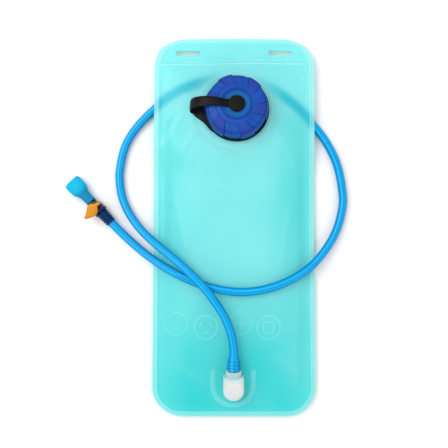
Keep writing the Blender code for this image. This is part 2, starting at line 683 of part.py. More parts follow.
def build():
    for old in list(bpy.data.objects):
        bpy.data.objects.remove(old, do_unlink=True)

    film = material("film", (0.26, 0.83, 0.84), 0.25)
    clear = material("clear_turquoise", (0.30, 0.85, 0.86), 0.3)
    cap_blue = material("cap_blue", (0.02, 0.08, 0.45), 0.35)
    black = material("black_rubber", (0.012, 0.012, 0.012), 0.5)
    rubber = material("seal_rubber", (0.55, 0.57, 0.58), 0.6)
    pale = material("pale_plastic", (0.75, 0.77, 0.77), 0.4)
    white = material("white_plastic", (0.72, 0.78, 0.78), 0.3)
    hose_blue = material("hose_blue", (0.01, 0.34, 0.75), 0.2)
    navy = material("navy_plastic", (0.005, 0.02, 0.11), 0.35)
    silicone = material("bite_silicone", (0.01, 0.53, 0.84), 0.4)
    orange = material("lever_orange", (0.80, 0.29, 0.02), 0.35)

    neck_turn = Matrix.Rotation(-NECK_LEAN, 4, "X")
    neck_frame = frame("neck_frame", Matrix.Translation(NECK) @ neck_turn)
    cap_frame = frame("cap_joint", Matrix.Translation(NECK) @ neck_turn)
    outlet_frame = frame("outlet_frame", Matrix.Translation(OUTLET) @ Matrix.Rotation(OUTLET_LEAN, 4, "X"))
    turn = Matrix.Rotation(math.atan2(VALVE_DIRECTION.y, VALVE_DIRECTION.x), 4, "Z")
    valve_frame = frame("valve_frame", Matrix.Translation(VALVE_MOUTH) @ turn)

    front = make_films(film)
    make_neck(front, clear, neck_frame)
    make_cap_shell(cap_blue, cap_frame)
    make_cap_inside(pale, rubber, cap_frame)
    make_tether(black, neck_frame, cap_frame)
    make_outlet(front, clear, white, rubber, hose_blue, outlet_frame)
    make_hose(hose_blue)
    upright = make_valve(navy, silicone, hose_blue, valve_frame)
    lever_joint = frame("lever_joint", upright.matrix_world.copy())
    make_shutoff(orange, navy, rubber, lever_joint)


build()
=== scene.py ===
"""Looks of the hydration bladder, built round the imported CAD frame. Metres, +Z up."""
import json
import math
from itertools import chain

import bmesh
import bpy
from mathutils import Matrix, Vector, noise


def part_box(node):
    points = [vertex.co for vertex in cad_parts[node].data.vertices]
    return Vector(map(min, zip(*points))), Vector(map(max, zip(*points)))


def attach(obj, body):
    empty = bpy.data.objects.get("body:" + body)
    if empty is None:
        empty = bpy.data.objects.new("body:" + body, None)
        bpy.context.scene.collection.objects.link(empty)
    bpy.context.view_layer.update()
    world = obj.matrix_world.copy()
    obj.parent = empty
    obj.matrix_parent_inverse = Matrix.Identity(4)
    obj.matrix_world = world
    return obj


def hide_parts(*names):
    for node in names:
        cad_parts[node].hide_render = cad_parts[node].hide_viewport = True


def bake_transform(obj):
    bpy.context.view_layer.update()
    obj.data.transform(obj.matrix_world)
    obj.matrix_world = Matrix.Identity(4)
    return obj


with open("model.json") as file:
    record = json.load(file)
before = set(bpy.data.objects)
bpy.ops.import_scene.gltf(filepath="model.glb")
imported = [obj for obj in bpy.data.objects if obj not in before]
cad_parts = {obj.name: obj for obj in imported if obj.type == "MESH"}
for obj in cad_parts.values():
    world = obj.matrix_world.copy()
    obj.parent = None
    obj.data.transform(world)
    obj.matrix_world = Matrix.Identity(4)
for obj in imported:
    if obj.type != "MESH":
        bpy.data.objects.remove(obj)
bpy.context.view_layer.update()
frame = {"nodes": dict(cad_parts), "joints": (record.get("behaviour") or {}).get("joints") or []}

JOINTS = {joint["name"]: joint for joint in frame["joints"]}

# The reservoir's outline and surfaces, as the CAD has them
FILM_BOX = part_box("front_film")
HALF_LENGTH = FILM_BOX[1].y
HALF_WIDTH = 0.0879
WIDTH_TAPER = 0.0089
CORNER_RADIUS = 0.0325
FILM_THICKNESS = 0.0008
FILM_GAP = 0.0003
SEAM_WIDTH = 0.0065
HEADER_WELD_Y = 0.1795
SLOT_X = 0.0502
SLOT_Y = 0.1888
SLOT_LENGTH = 0.0265
SLOT_WIDTH = 0.0054
SEAM_LOW = 0.0060
SEAM_HIGH = 0.0111
SEAM_LIFT_Y = (0.050, 0.098)
DROOP_START_Y = 0.168
DROOP_SLOPE = 0.052
FRONT_BULGE = 0.0120
FRONT_BULGE_LOSS = 0.0055
BULGE_LOSS_Y = (0.070, 0.130)
SIDE_RAMP = 0.050
BOTTOM_RAMP = 0.120
TOP_RAMP = 0.060
BACK_RAMP = 0.045

# Neck, outlet and valve frames
NECK = Vector(JOINTS["cap_unscrew"]["pos_m"])
NECK_LEAN = math.radians(6.0)
NECK_FLAT = (0.042, 0.058)
NECK_FRAME = Matrix.Translation(NECK) @ Matrix.Rotation(-NECK_LEAN, 4, "X")
NECK_HOLE_RADIUS = 0.0292
OUTLET = Vector((-0.0008, -0.1733, 0.0119))
OUTLET_LEAN = math.radians(8.0)
OUTLET_FLAT = (0.032, 0.044)
OUTLET_FRAME = Matrix.Translation(OUTLET) @ Matrix.Rotation(OUTLET_LEAN, 4, "X")
OUTLET_AXIS_HEIGHT = 0.0096
OUTLET_HOLE_RADIUS = 0.0088
LEVER_PIVOT = Vector(JOINTS["lever_turn"]["pos_m"])
VALVE_DIRECTION = Vector((0.695, -0.719, 0.0)).normalized()
ROTOR_PLACE = 0.0400
VALVE_MOUTH = LEVER_PIVOT - ROTOR_PLACE * VALVE_DIRECTION
VALVE_TURN = math.atan2(VALVE_DIRECTION.y, VALVE_DIRECTION.x)
VALVE_FRAME = Matrix.Translation(VALVE_MOUTH) @ Matrix.Rotation(VALVE_TURN, 4, "Z")
LEVER_FRAME = Matrix.Translation(LEVER_PIVOT) @ Matrix.Rotation(VALVE_TURN, 4, "Z")

# Hose
HOSE_RADIUS = 0.0045
HOSE_BORE = 0.0030
HOSE_SIDES = 32
HOSE_SPACING = 0.0022
OUTLET_SLEEVE_STEPS = 46
OUTLET_RIB_PITCH = 0.0038
VALVE_SLEEVE_STEPS = 56
VALVE_RIB_PITCH = 0.0028
HOSE_ROUTE = (
    (-0.0008, -0.1318, 0.0275),
    (-0.0012, -0.1262, 0.0282),
    (-0.0024, -0.1180, 0.0293),
    (-0.0058, -0.1063, 0.0305),
    (-0.0113, -0.0934, 0.0317),
    (-0.0208, -0.0784, 0.0326),
    (-0.0320, -0.0635, 0.0333),
    (-0.0445, -0.0505, 0.0326),
    (-0.0592, -0.0374, 0.0291),
    (-0.0743, -0.0255, 0.0236),
    (-0.0895, -0.0135, 0.0170),
    (-0.1038, 0.0004, 0.0110),
    (-0.1154, 0.0167, 0.0070),
    (-0.1220, 0.0320, 0.0053),
    (-0.1250, 0.0475, 0.0049),
    (-0.1250, 0.0626, 0.0048),
    (-0.1179, 0.0910, 0.0048),
    (-0.0993, 0.1173, 0.0048),
    (-0.0676, 0.1432, 0.0048),
    (-0.0261, 0.1582, 0.0048),
    (0.0176, 0.1577, 0.0048),
    (0.0548, 0.1399, 0.0048),
    (0.0887, 0.1091, 0.0048),
    (0.1105, 0.0735, 0.0048),
    (0.1188, 0.0342, 0.0048),
    (0.1165, 0.0123, 0.0051),
    (0.1097, -0.0073, 0.0066),
    (0.0989, -0.0246, 0.0098),
    (0.0842, -0.0410, 0.0144),
    (0.0664, -0.0532, 0.0192),
    (0.0468, -0.0619, 0.0226),
    (0.0253, -0.0674, 0.0237),
    (0.0041, -0.0688, 0.0240),
    (-0.0172, -0.0660, 0.0240),
    (-0.0374, -0.0602, 0.0236),
    (-0.0577, -0.0518, 0.0214),
    (-0.0762, -0.0419, 0.0172),
    (-0.0929, -0.0312, 0.0126),
    (-0.1086, -0.0188, 0.0094),
    (-0.1228, -0.0058, 0.0083),
    (-0.1321, 0.0036, 0.0082),
)
OUTLET_SLEEVE = (0.0222, 0.0424)    # the stretched end over the outlet's barbs, along its axis
VALVE_SLEEVE = (0.0478, 0.0645)     # the stretched end over the valve's barbs, along its axis

CAMERA_PLACE = (-0.0111, 0.0036, 0.750)
CAMERA_VIEW = math.radians(36.4)
SKY_STRENGTH = 0.82


# ---------- numbers and curves

def clamp(value, low=0.0, high=1.0):
    return min(max(value, low), high)


def smoothstep(low, high, value):
    t = clamp((value - low) / (high - low))
    return t * t * (3.0 - 2.0 * t)


def ridge(distance, width):
    """1 in the middle of a rounded ridge and 0 at half its width."""
    t = clamp(abs(distance) / (width / 2))
    return (1.0 - t * t) ** 2


def spread(start, end, steps):
    """Evenly spaced values from start to end."""
    return [start + (end - start) * index / steps for index in range(steps + 1)]


def arc(x, y, radius, start, end, steps):
    """Points on an arc round (x, y), from a start to an end angle in degrees."""
    angles = [math.radians(angle) for angle in spread(start, end, steps)]
    return [(x + radius * math.cos(angle), y + radius * math.sin(angle)) for angle in angles]


def heading(centres, index):
    """The way from the point before to the point after."""
    return centres[min(index + 1, len(centres) - 1)] - centres[max(index - 1, 0)]


def smooth_curve(route, spacing):
    """Evenly spaced points on a Catmull-Rom curve through the route."""
    points = [Vector(point) for point in route]
    padded = [2 * points[0] - points[1]] + points + [2 * points[-1] - points[-2]]
    fine = []
    for before, start, end, after in zip(padded, padded[1:], padded[2:], padded[3:]):
        span = (end - start).length
        leave = (end - before) / ((end - start).length + (start - before).length) * span
        arrive = (after - start) / ((after - end).length + (end - start).length) * span
        for step in range(24):
            t = step / 24
            fine.append((2 * t**3 - 3 * t**2 + 1) * start + (t**3 - 2 * t**2 + t) * leave
                        + (3 * t**2 - 2 * t**3) * end + (t**3 - t**2) * arrive)
    fine.append(points[-1])
    lengths = [0.0]
    for near, far in zip(fine, fine[1:]):
        lengths.append(lengths[-1] + (far - near).length)
    count = max(2, round(lengths[-1] / spacing))
    picked = []
    index = 0
    for number in range(count + 1):
        wanted = lengths[-1] * number / count
        while index < len(fine) - 2 and lengths[index + 1] < wanted:
            index += 1
        share = (wanted - lengths[index]) / (lengths[index + 1] - lengths[index])
        picked.append(fine[index].lerp(fine[index + 1], share))
    return picked


def flat_curve(points, spacing):
    """A smooth curve in the plane, as (x, y) points."""
    return [(point.x, point.y) for point in smooth_curve([(x, y, 0.0) for x, y in points], spacing)]


def rounded(profile, radius, steps=4, closed=False):
    """The profile with its corners rounded by that radius, or by less where a side is short."""
    points = [Vector(point).to_2d() for point in profile]
    count = len(points)
    made = []
    for index, corner in enumerate(points):
        if not closed and index in (0, count - 1):
            made.append(tuple(corner))
            continue
        before = points[index - 1] - corner
        after = points[(index + 1) % count] - corner
        reach = min(radius, before.length * 0.45, after.length * 0.45)
        start = corner + before.normalized() * reach
        end = corner + after.normalized() * reach
        for step in range(steps + 1):
            t = step / steps
            made.append(tuple((1 - t) ** 2 * start + 2 * t * (1 - t) * corner + t * t * end))
    return made


# ---------- meshes

MERGE_DISTANCE = 1e-7
TURNS = {"X": Matrix.Rotation(math.pi / 2, 3, "Y"), "Y": Matrix.Rotation(-math.pi / 2, 3, "X")}


def to_mesh(name, bm, sharp_angle=40.0):
    """The bmesh's faces, welded, turned outwards and shaded smooth up to the sharp angle."""
    bmesh.ops.remove_doubles(bm, verts=bm.verts, dist=MERGE_DISTANCE)
    bmesh.ops.recalc_face_normals(bm, faces=bm.faces)
    mesh = bpy.data.meshes.new(name)
    bm.to_mesh(mesh)
    bm.free()
    mesh.shade_smooth()
    mesh.set_sharp_from_angle(angle=math.radians(sharp_angle))
    return mesh


def add_object(name, mesh, matrix=None):
    made = bpy.data.objects.new(name, mesh)
    bpy.context.scene.collection.objects.link(made)
    if matrix is not None:
        mesh.transform(matrix)
    return made


def loft(name, rings, matrix=None, closed=False, sharp_angle=40.0):
    """Skin a list of closed rings of points; closed joins the last ring to the first."""
    bm = bmesh.new()
    rows = [[bm.verts.new(point) for point in ring] for ring in rings]
    count = len(rows[0])
    pairs = list(zip(rows, rows[1:]))
    if closed:
        pairs.append((rows[-1], rows[0]))
    for near, far in pairs:
        for index in range(count):
            following = (index + 1) % count
            bm.faces.new((near[index], near[following], far[following], far[index]))
    if not closed:
        bm.faces.new(rows[0])
        bm.faces.new(rows[-1])
    return add_object(name, to_mesh(name, bm, sharp_angle), matrix)


def turned(name, profile, segments, matrix=None, axis="Z", shape=None):
    """Spin a closed or on-axis (radius, height) profile; shape(angle, radius, height) may move a point."""
    bm = bmesh.new()
    rows = []
    for number in range(segments):
        angle = math.tau * number / segments
        row = []
        for radius, height in profile:
            if shape:
                radius, height = shape(angle, radius, height)
            row.append((radius * math.cos(angle), radius * math.sin(angle), height))
        rows.append([bm.verts.new(point) for point in row])
    whole = profile[0][0] > 0.0 or profile[-1][0] > 0.0
    count = len(profile)
    for near, far in zip(rows, rows[1:] + rows[:1]):
        for index in range(count if whole else count - 1):
            following = (index + 1) % count
            bm.faces.new((near[index], far[index], far[following], near[following]))
    if axis in TURNS:
        bmesh.ops.rotate(bm, verts=bm.verts, cent=(0, 0, 0), matrix=TURNS[axis])
    bmesh.ops.remove_doubles(bm, verts=bm.verts, dist=MERGE_DISTANCE)
    bmesh.ops.dissolve_degenerate(bm, dist=MERGE_DISTANCE / 10, edges=bm.edges)
    return add_object(name, to_mesh(name, bm), matrix)


def cylinder(radius, low, high):
    """Profile of a plain cylinder."""
    return [(0.0, low), (radius, low), (radius, high), (0.0, high)]


def combine(target, tools, operation, sharp_angle=40.0):
    """Cut the tools from the target or join them to it, and drop them."""
    for tool in tools:
        modifier = target.modifiers.new(tool.name, "BOOLEAN")
        modifier.operation = operation
        modifier.solver = "EXACT"
        modifier.object = tool
    bpy.context.view_layer.update()
    graph = bpy.context.evaluated_depsgraph_get()
    mesh = bpy.data.meshes.new_from_object(target.evaluated_get(graph))
    target.modifiers.clear()
    target.data = mesh
    mesh.shade_smooth()
    mesh.set_sharp_from_angle(angle=math.radians(sharp_angle))
    for tool in tools:
        bpy.data.objects.remove(tool)


def paint(obj, name, value):
    """A number at each vertex that a material reads; value(co) gives it from the point."""
    layer = obj.data.attributes.new(name, "FLOAT", "POINT")
    layer.data.foreach_set("value", [value(vert.co) for vert in obj.data.vertices])


def paint_points(obj, points, marks, names):
    """Paint each vertex with the marks of the point that it was made from."""
    values = {tuple(round(x, 6) for x in point): mark for point, mark in zip(points, marks)}
    plain = (0.0,) * len(names)
    for place, name in enumerate(names):
        paint(obj, name, lambda co, place=place: values.get(tuple(round(x, 6) for x in co), plain)[place])


def settle(obj, look, body, slot, *nodes):
    """Give a piece its material and body, and hide the CAD nodes that it stands for. The slot is not used."""
    obj.data.materials.clear()
    obj.data.materials.append(look)
    if body:
        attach(obj, body)
    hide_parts(*nodes)
    return obj


# ---------- materials

class Nodes:
    """Short names for building a material's nodes."""

    def __init__(self, name):
        self.material = bpy.data.materials.new(name)
        self.material.use_nodes = True
        self.tree = self.material.node_tree
        self.shader = self.tree.nodes["Principled BSDF"]
        self.output = self.tree.nodes["Material Output"]
        self.place = self.add("ShaderNodeTexCoord").outputs["Object"]

    def add(self, kind, **values):
        node = self.tree.nodes.new(kind)
        for key, value in values.items():
            setattr(node, key, value)
        return node

    def link(self, source, target):
        self.tree.links.new(source, target)

    def noise(self, scale, detail=3.0, roughness=0.5):
        node = self.add("ShaderNodeTexNoise")
        self.link(self.place, node.inputs["Vector"])
        node.inputs["Scale"].default_value = scale
        node.inputs["Detail"].default_value = detail
        node.inputs["Roughness"].default_value = roughness
        return node.outputs["Fac"]

    def attribute(self, name):
        return self.add("ShaderNodeAttribute", attribute_name=name).outputs["Fac"]

    def span(self, source, low, high, to_low=0.0, to_high=1.0):
        node = self.add("ShaderNodeMapRange")
        self.link(source, node.inputs["Value"])
        for key, value in zip(("From Min", "From Max", "To Min", "To Max"), (low, high, to_low, to_high)):
            node.inputs[key].default_value = value
        return node.outputs["Result"]

    def mix(self, share, first, second):
        """Two colours, or colour outputs, mixed by a number output."""
        node = self.add("ShaderNodeMix", data_type="RGBA")
        self.link(share, node.inputs[0])
        for socket, value in ((node.inputs[6], first), (node.inputs[7], second)):
            if isinstance(value, tuple):
                socket.default_value = (*value, 1.0)
            else:
                self.link(value, socket)
        return node.outputs[2]

    def bump(self, height, distance):
        node = self.add("ShaderNodeBump")
        node.inputs["Distance"].default_value = distance
        self.link(height, node.inputs["Height"])
        for target in list(self.tree.nodes):
            if target.bl_idname in ("ShaderNodeBsdfPrincipled", "ShaderNodeBsdfTranslucent"):
                self.link(node.outputs["Normal"], target.inputs["Normal"])

    def set(self, **values):
        for key, value in values.items():
            self.shader.inputs[key.replace("_", " ")].default_value = value

    def see_through(self, solid, colour=None, translucent=0.0):
        """Let light straight through by 1 - solid, and glow from behind by translucent."""
        surface = self.shader.outputs["BSDF"]
        if translucent:
            glow = self.add("ShaderNodeBsdfTranslucent")
            self.link(colour, glow.inputs["Color"])
            both = self.add("ShaderNodeMixShader")
            both.inputs[0].default_value = translucent
            self.link(surface, both.inputs[1])
            self.link(glow.outputs["BSDF"], both.inputs[2])
            surface = both.outputs["Shader"]
        clear = self.add("ShaderNodeBsdfTransparent")
        mixed = self.add("ShaderNodeMixShader")
        if isinstance(solid, float):
            mixed.inputs[0].default_value = solid
        else:
            self.link(solid, mixed.inputs[0])
        self.link(clear.outputs["BSDF"], mixed.inputs[1])
        self.link(surface, mixed.inputs[2])
        self.link(mixed.outputs["Shader"], self.output.inputs["Surface"])


# Film colours: painted shade, painted light, painted shade of the hose behind, and the paler welds
FILM_SHADED = (0.045, 0.86, 0.87)
FILM_LIT = (0.37, 1.0, 1.0)
FILM_HOSE_SHADE = (0.018, 0.71, 0.84)
FILM_WELD = (0.72, 1.0, 0.98)
FILM_GLOW = 0.20                    # the share of light that it scatters through
FRONT_SOLID = 0.52
BACK_SOLID = 0.50


def film_material(name, solid):
    """Cloudy turquoise film: painted highlights make it paler where it is slack, painted shade makes it
    deeper at the bottom and sides, the welds are paler, and a painted blue shade lies over the hose.
    """
    nodes = Nodes(name)
    share = nodes.add("ShaderNodeMath", operation="ADD", use_clamp=True)
    # painted light and shade over the film, with a little random tone
    nodes.link(nodes.attribute("painted_light_and_shade"), share.inputs[0])
    nodes.link(nodes.span(nodes.noise(9.0, 2.0), 0.35, 0.65, -0.06, 0.10), share.inputs[1])
    colour = nodes.mix(share.outputs[0], FILM_SHADED, FILM_LIT)
    # painted blue shade where the hose lies behind the film
    colour = nodes.mix(nodes.attribute("painted_hose_shade"), colour, FILM_HOSE_SHADE)
    weld = nodes.attribute("weld")
    colour = nodes.mix(nodes.span(weld, 0.0, 1.0, 0.0, 0.75), colour, FILM_WELD)
    nodes.link(colour, nodes.shader.inputs["Base Color"])
    nodes.set(Roughness=0.30, IOR=1.49)
    nodes.see_through(nodes.span(weld, 0.0, 1.0, solid, min(1.0, solid + 0.25)), colour, FILM_GLOW)
    nodes.bump(nodes.noise(260.0, 2.0, 0.6), 0.00006)
    return nodes.material


def moulded(name, pair, mottle, polish, grain, layers=(), shine=0.5, index=1.5, contrast=(0.35, 0.65)):
    """Moulded plastic or rubber: a mottled pair of colours, uneven polish and a fine surface grain.

    mottle is a noise's (scale, detail), polish is (scale, detail, lowest roughness, highest roughness)
    and grain is (scale, detail, depth). Painted layers (attribute, strength, colour) go over the pair.
    """
    nodes = Nodes(name)
    colour = nodes.mix(nodes.span(nodes.noise(*mottle), *contrast), *pair)
    for mask, strength, over in layers:
        colour = nodes.mix(nodes.span(nodes.attribute(mask), 0.0, 1.0, 0.0, strength), colour, over)
    nodes.link(colour, nodes.shader.inputs["Base Color"])
    nodes.link(nodes.span(nodes.noise(*polish[:2]), 0.3, 0.7, *polish[2:]), nodes.shader.inputs["Roughness"])
    nodes.set(IOR=index, Specular_IOR_Level=shine)
    nodes.bump(nodes.noise(*grain[:2]), grain[2])
    return nodes


def plastic(name, pair, rough, scale, grain, shine=0.5):
    """Plain plastic or rubber in one colour."""
    return moulded(name, pair, (scale, 4.0), (scale * 2.3, 3.0, *rough), (grain, 3.0, 0.00003),
                   shine=shine).material


def hose_material():
    """Clear blue tube with a painted highlight along its upper side and painted shade along its edges, its
    underside and a thin line near its middle, that turns navy over the valve's barbs.
    """
    # painted highlight, painted shade, and the navy of the barbs under the tube
    layers = (("painted_highlight", 1.0, (0.016, 0.52, 0.93)),
              ("painted_edge_shade", 1.0, (0.0004, 0.185, 0.46)),
              ("core", 1.0, (0.0008, 0.010, 0.075)))
    return moulded("hose_blue", ((0.0006, 0.30, 0.68), (0.0009, 0.33, 0.73)), (70.0, 3.0),
                   (140.0, 2.0, 0.20, 0.28), (500.0, 2.0, 0.00004), layers, 0.18,
                   contrast=(0.3, 0.7)).material


def flange_material():
    """Clear turquoise of the weld flanges under the film."""
    nodes = moulded("flange_turquoise", ((0.16, 0.86, 0.86), (0.22, 0.92, 0.92)), (60.0, 3.0),
                    (130.0, 2.0, 0.24, 0.34), (700.0, 2.0, 0.00003))
    nodes.see_through(0.16)
    return nodes.material


def outlet_material():
    """Milky white moulding, with painted grey shade round its shoulders and at the toothed ring."""
    return moulded("outlet_white", ((0.66, 0.70, 0.70), (0.72, 0.745, 0.745)), (70.0, 4.0),
                   (160.0, 3.0, 0.26, 0.36), (800.0, 3.0, 0.00003),
                   (("painted_outlet_shade", 1.0, (0.47, 0.68, 0.70)),), 0.4, 1.49).material


def cap_material():
    """Blue moulding with painted shade that makes its grip lobes lean to violet, painted light that makes its
    recess lean to azure, and painted shade lines in its grooves.
    """
    # painted shade on the lobes, painted light in the recess, painted shade lines in the grooves
    layers = (("lobe", 0.8, (0.020, 0.044, 0.32)),
              ("painted_recess_light", 1.0, (0.005, 0.115, 0.36)),
              ("painted_groove_shade", 0.75, (0.001, 0.016, 0.18)))
    return moulded("cap_blue", ((0.008, 0.066, 0.37), (0.010, 0.080, 0.41)), (45.0, 4.0),
                   (120.0, 3.0, 0.36, 0.48), (1100.0, 3.0, 0.00003), layers, 0.14).material


def silicone_material():
    """Soft cyan silicone, deeper along the neck."""
    return moulded("bite_silicone", ((0.003, 0.40, 0.66), (0.006, 0.45, 0.71)), (80.0, 3.0),
                   (150.0, 3.0, 0.38, 0.50), (700.0, 3.0, 0.00004),
                   (("neck", 1.0, (0.008, 0.22, 0.43)),), 0.14, 1.41).material


# ---------- film surfaces

# Welds: the U round the outlet, with its arms' ends, and the rings (radius, height, paleness) of the neck
U_WELD = (-0.0014, -0.1719)
U_WELD_RADIUS = 0.0226
U_WELD_TOP = -0.150
NECK_WELD_SHIFT = 0.0014
NECK_WELD_IN = 0.0352
NECK_WELD_OUT = 0.0438
NECK_WELD_RINGS = ((0.0376, 0.00022, 0.44), (0.0398, 0.00035, 0.70), (0.0418, 0.00022, 0.44))
WELD_REACH = 0.0048
FRONT_SPACING = 0.0025
BACK_SPACING = 0.0034
BORDER_STEP = 0.00072
BORDER_STEPS = 10
BORDER_INSIDE = 0.0072
SLOT_TILT = math.radians(-2.5)      # of the right slot
HIDDEN_HOSE = [(point.x, point.y) for point in smooth_curve(HOSE_ROUTE, 0.002) if point.y > 0.055]


def half_width(y):
    return HALF_WIDTH - WIDTH_TAPER * y


def seam_height(y):
    lift = smoothstep(*SEAM_LIFT_Y, y)
    return SEAM_LOW + (SEAM_HIGH - SEAM_LOW) * lift - DROOP_SLOPE * max(y - DROOP_START_Y, 0.0)


def bulge(x, y, side_ramp, bottom_ramp, top_ramp):
    side = 1.0 - (half_width(y) - SEAM_WIDTH - abs(x)) / side_ramp
    bottom = 1.0 - (y + HALF_LENGTH - SEAM_WIDTH) / bottom_ramp
    top = 1.0 - (HEADER_WELD_Y - y) / top_ramp
    nearness = (clamp(side) ** 4 + clamp(max(bottom, top)) ** 4) ** 0.25
    return 1.0 - min(nearness, 1.0) ** 2


def border_distance(x, y):
    """Distance inside the film's rounded outline."""
    across = abs(x) - (half_width(y) - CORNER_RADIUS)
    along = abs(y) - (HALF_LENGTH - CORNER_RADIUS)
    return CORNER_RADIUS - math.hypot(max(across, 0.0), max(along, 0.0)) - min(max(across, along), 0.0)


def distance(x, y, centre):
    return math.hypot(x - centre.x, y - centre.y)


def header_line(x):
    """The weld line under the hanger slots, a little lower at its left."""
    return HEADER_WELD_Y - 0.0012 * (1.0 - smoothstep(-0.045, -0.008, x)) + 0.0003 * math.sin(x * 70.0)


def u_distance(x, y):
    """Signed distance outside the middle line of the U weld round the outlet."""
    across = x - U_WELD[0]
    along = y - U_WELD[1]
    if along > 0.0:
        return abs(across) - U_WELD_RADIUS
    return math.hypot(across, along) - U_WELD_RADIUS


def neck_distance(x, y):
    """Distance from the middle of the neck's weld rings."""
    return math.hypot(x - NECK.x + NECK_WELD_SHIFT, y - NECK.y)


def ring_mark(x, y):
    """A ring and a dot in it, which stand for a drop."""
    return max(ridge(math.hypot(x, y + 0.0018) - 0.0046, 0.0014), ridge(math.hypot(x, y), 0.0034))


def arc_mark(x, y):
    """Three arcs of one circle."""
    return ridge(math.hypot(x, y) - 0.0066, 0.0014) * smoothstep(-0.2, 0.3, math.sin(3.0 * math.atan2(y, x)))


def cross_mark(x, y):
    """A cross of two bars."""
    return (1.0 - smoothstep(0.0074, 0.0084, math.hypot(x, y))) * max(ridge(x, 0.0015), ridge(y, 0.0015))


def square_mark(x, y):
    return ridge(max(abs(x), abs(y)) - 0.0056, 0.0014)


# The generic raised marks: (x, y, paleness, shape)
DISCS = (
    (-0.0633, -0.1046, 0.22, ring_mark),
    (-0.0305, -0.1075, 0.45, arc_mark),
    (0.0063, -0.1032, 0.25, cross_mark),
    (0.0369, -0.1078, 0.45, square_mark),
)
DISC_RADIUS = 0.0133
DISC_HEIGHT = 0.00034


def embossing(x, y):
    """(height above the plain film, paleness) of the welds and raised marks."""
    edge = border_distance(x, y)
    height = 0.00045 * ridge(edge - 0.0042, 0.0022) + 0.00022 * ridge(edge - 0.0063, 0.0012)
    height -= 0.00022 * ridge(edge - 0.0027, 0.0010)
    pale = 0.8 * ridge(edge - 0.0042, 0.0022) + 0.48 * (1.0 - smoothstep(0.0026, 0.0040, edge))
    if y > 0.165 and edge > 0.006:
        line = y - header_line(x)
        height += 0.00035 * ridge(line - 0.0012, 0.0016) - 0.00040 * ridge(line + 0.0004, 0.0018)
        height += 0.00030 * ridge(line + 0.0022, 0.0018)
        pale = max(pale, 0.8 * ridge(line + 0.0022, 0.0018), 0.4 * ridge(line - 0.0014, 0.0016))
    for radius, rise, paleness in NECK_WELD_RINGS:
        mark = ridge(neck_distance(x, y) - radius, 0.0016)
        height += rise * mark
        pale = max(pale, paleness * mark)
    if y < U_WELD_TOP:
        ends = 1.0 - smoothstep(U_WELD_TOP - 0.007, U_WELD_TOP - 0.001, y)
        pale = max(pale, 0.26 * ends * ridge(u_distance(x, y) + 0.0007, 0.0064))
        for offset in (-0.0022, 0.0009):
            mark = ends * ridge(u_distance(x, y) - offset, 0.0025)
            height += 0.00038 * mark
            pale = max(pale, 0.42 * mark)
    for disc_x, disc_y, paleness, shape in DISCS:
        away = math.hypot(x - disc_x, y - disc_y)
        if away < DISC_RADIUS + 0.001:
            mark = max(ridge(away - DISC_RADIUS + 0.0008, 0.0016), shape(x - disc_x, y - disc_y))
            height += DISC_HEIGHT * mark
            pale = max(pale, paleness * mark)
    return height, min(pale, 1.0)


PUCKER_HEIGHT = 0.00018
WAVE_HEIGHT = 0.00060
FOLD_HEIGHT = 0.0040

# Slack folds of the film, raised in its shape and drawn as painted highlights in its colour: (start, end,
# strength)
FOLDS = (
    ((-0.0570, 0.1230), (-0.0790, 0.0900), 0.22),
    ((-0.0420, 0.1080), (-0.0580, 0.0820), 0.16),
    ((-0.0300, 0.0940), (-0.0180, 0.0760), 0.14),
    ((0.0450, 0.0980), (0.0640, 0.0660), 0.12),
    ((-0.0640, 0.0300), (-0.0520, -0.0200), 0.12),
    ((0.0580, 0.0200), (0.0500, -0.0400), 0.10),
    ((-0.0600, -0.1500), (-0.0300, -0.1700), 0.12),
    ((0.0420, -0.1380), (0.0680, -0.1560), 0.12),
)


def slackness(x, y):
    """Soft puckers inside the welds and slow waves over the film."""
    edge = border_distance(x, y)
    fade = smoothstep(0.007, 0.016, edge) * smoothstep(0.001, 0.012, HEADER_WELD_Y - y)
    fade *= smoothstep(0.044, 0.060, distance(x, y, NECK)) * smoothstep(0.030, 0.044, distance(x, y, OUTLET))
    near = 1.0 - smoothstep(0.012, 0.034, edge)
    along = x if HALF_LENGTH - abs(y) < half_width(y) - abs(x) else y
    pucker = math.sin(along * 260.0 + 4.0 * noise.noise(Vector((x * 20.0, y * 20.0, 3.0))))
    wave = noise.noise(Vector((x * 16.0, y * 11.0, 7.0)))
    crease = sum(strength * (1.0 - smoothstep(0.0, 0.0070, near_line(x, y, start, end)))
                 for start, end, strength in FOLDS)
    return fade * (PUCKER_HEIGHT * near * pucker + WAVE_HEIGHT * wave + FOLD_HEIGHT * crease)


def off_seam(edge):
    """0 on the welded border and 1 well inside it."""
    return smoothstep(SEAM_WIDTH - 0.0005, SEAM_WIDTH + 0.014, edge)


def front_height(x, y):
    """Upper face of the front film, before its welds and marks."""
    edge = border_distance(x, y)
    crown = FRONT_BULGE - FRONT_BULGE_LOSS * smoothstep(*BULGE_LOSS_Y, y)
    height = seam_height(y) + FILM_GAP / 2 + FILM_THICKNESS
    height += crown * bulge(x, y, SIDE_RAMP, BOTTOM_RAMP, TOP_RAMP) * off_seam(edge)
    for centre, lean, flat in ((NECK, -NECK_LEAN, NECK_FLAT), (OUTLET, OUTLET_LEAN, OUTLET_FLAT)):
        plane = centre.z + (y - centre.y) * math.tan(lean)
        share = 1.0 - smoothstep(*flat, distance(x, y, centre))
        share *= smoothstep(SEAM_WIDTH, SEAM_WIDTH + 0.006, edge)
        share *= smoothstep(0.0, 0.006, HEADER_WELD_Y - y)
        height += share * (plane - height)
    return height


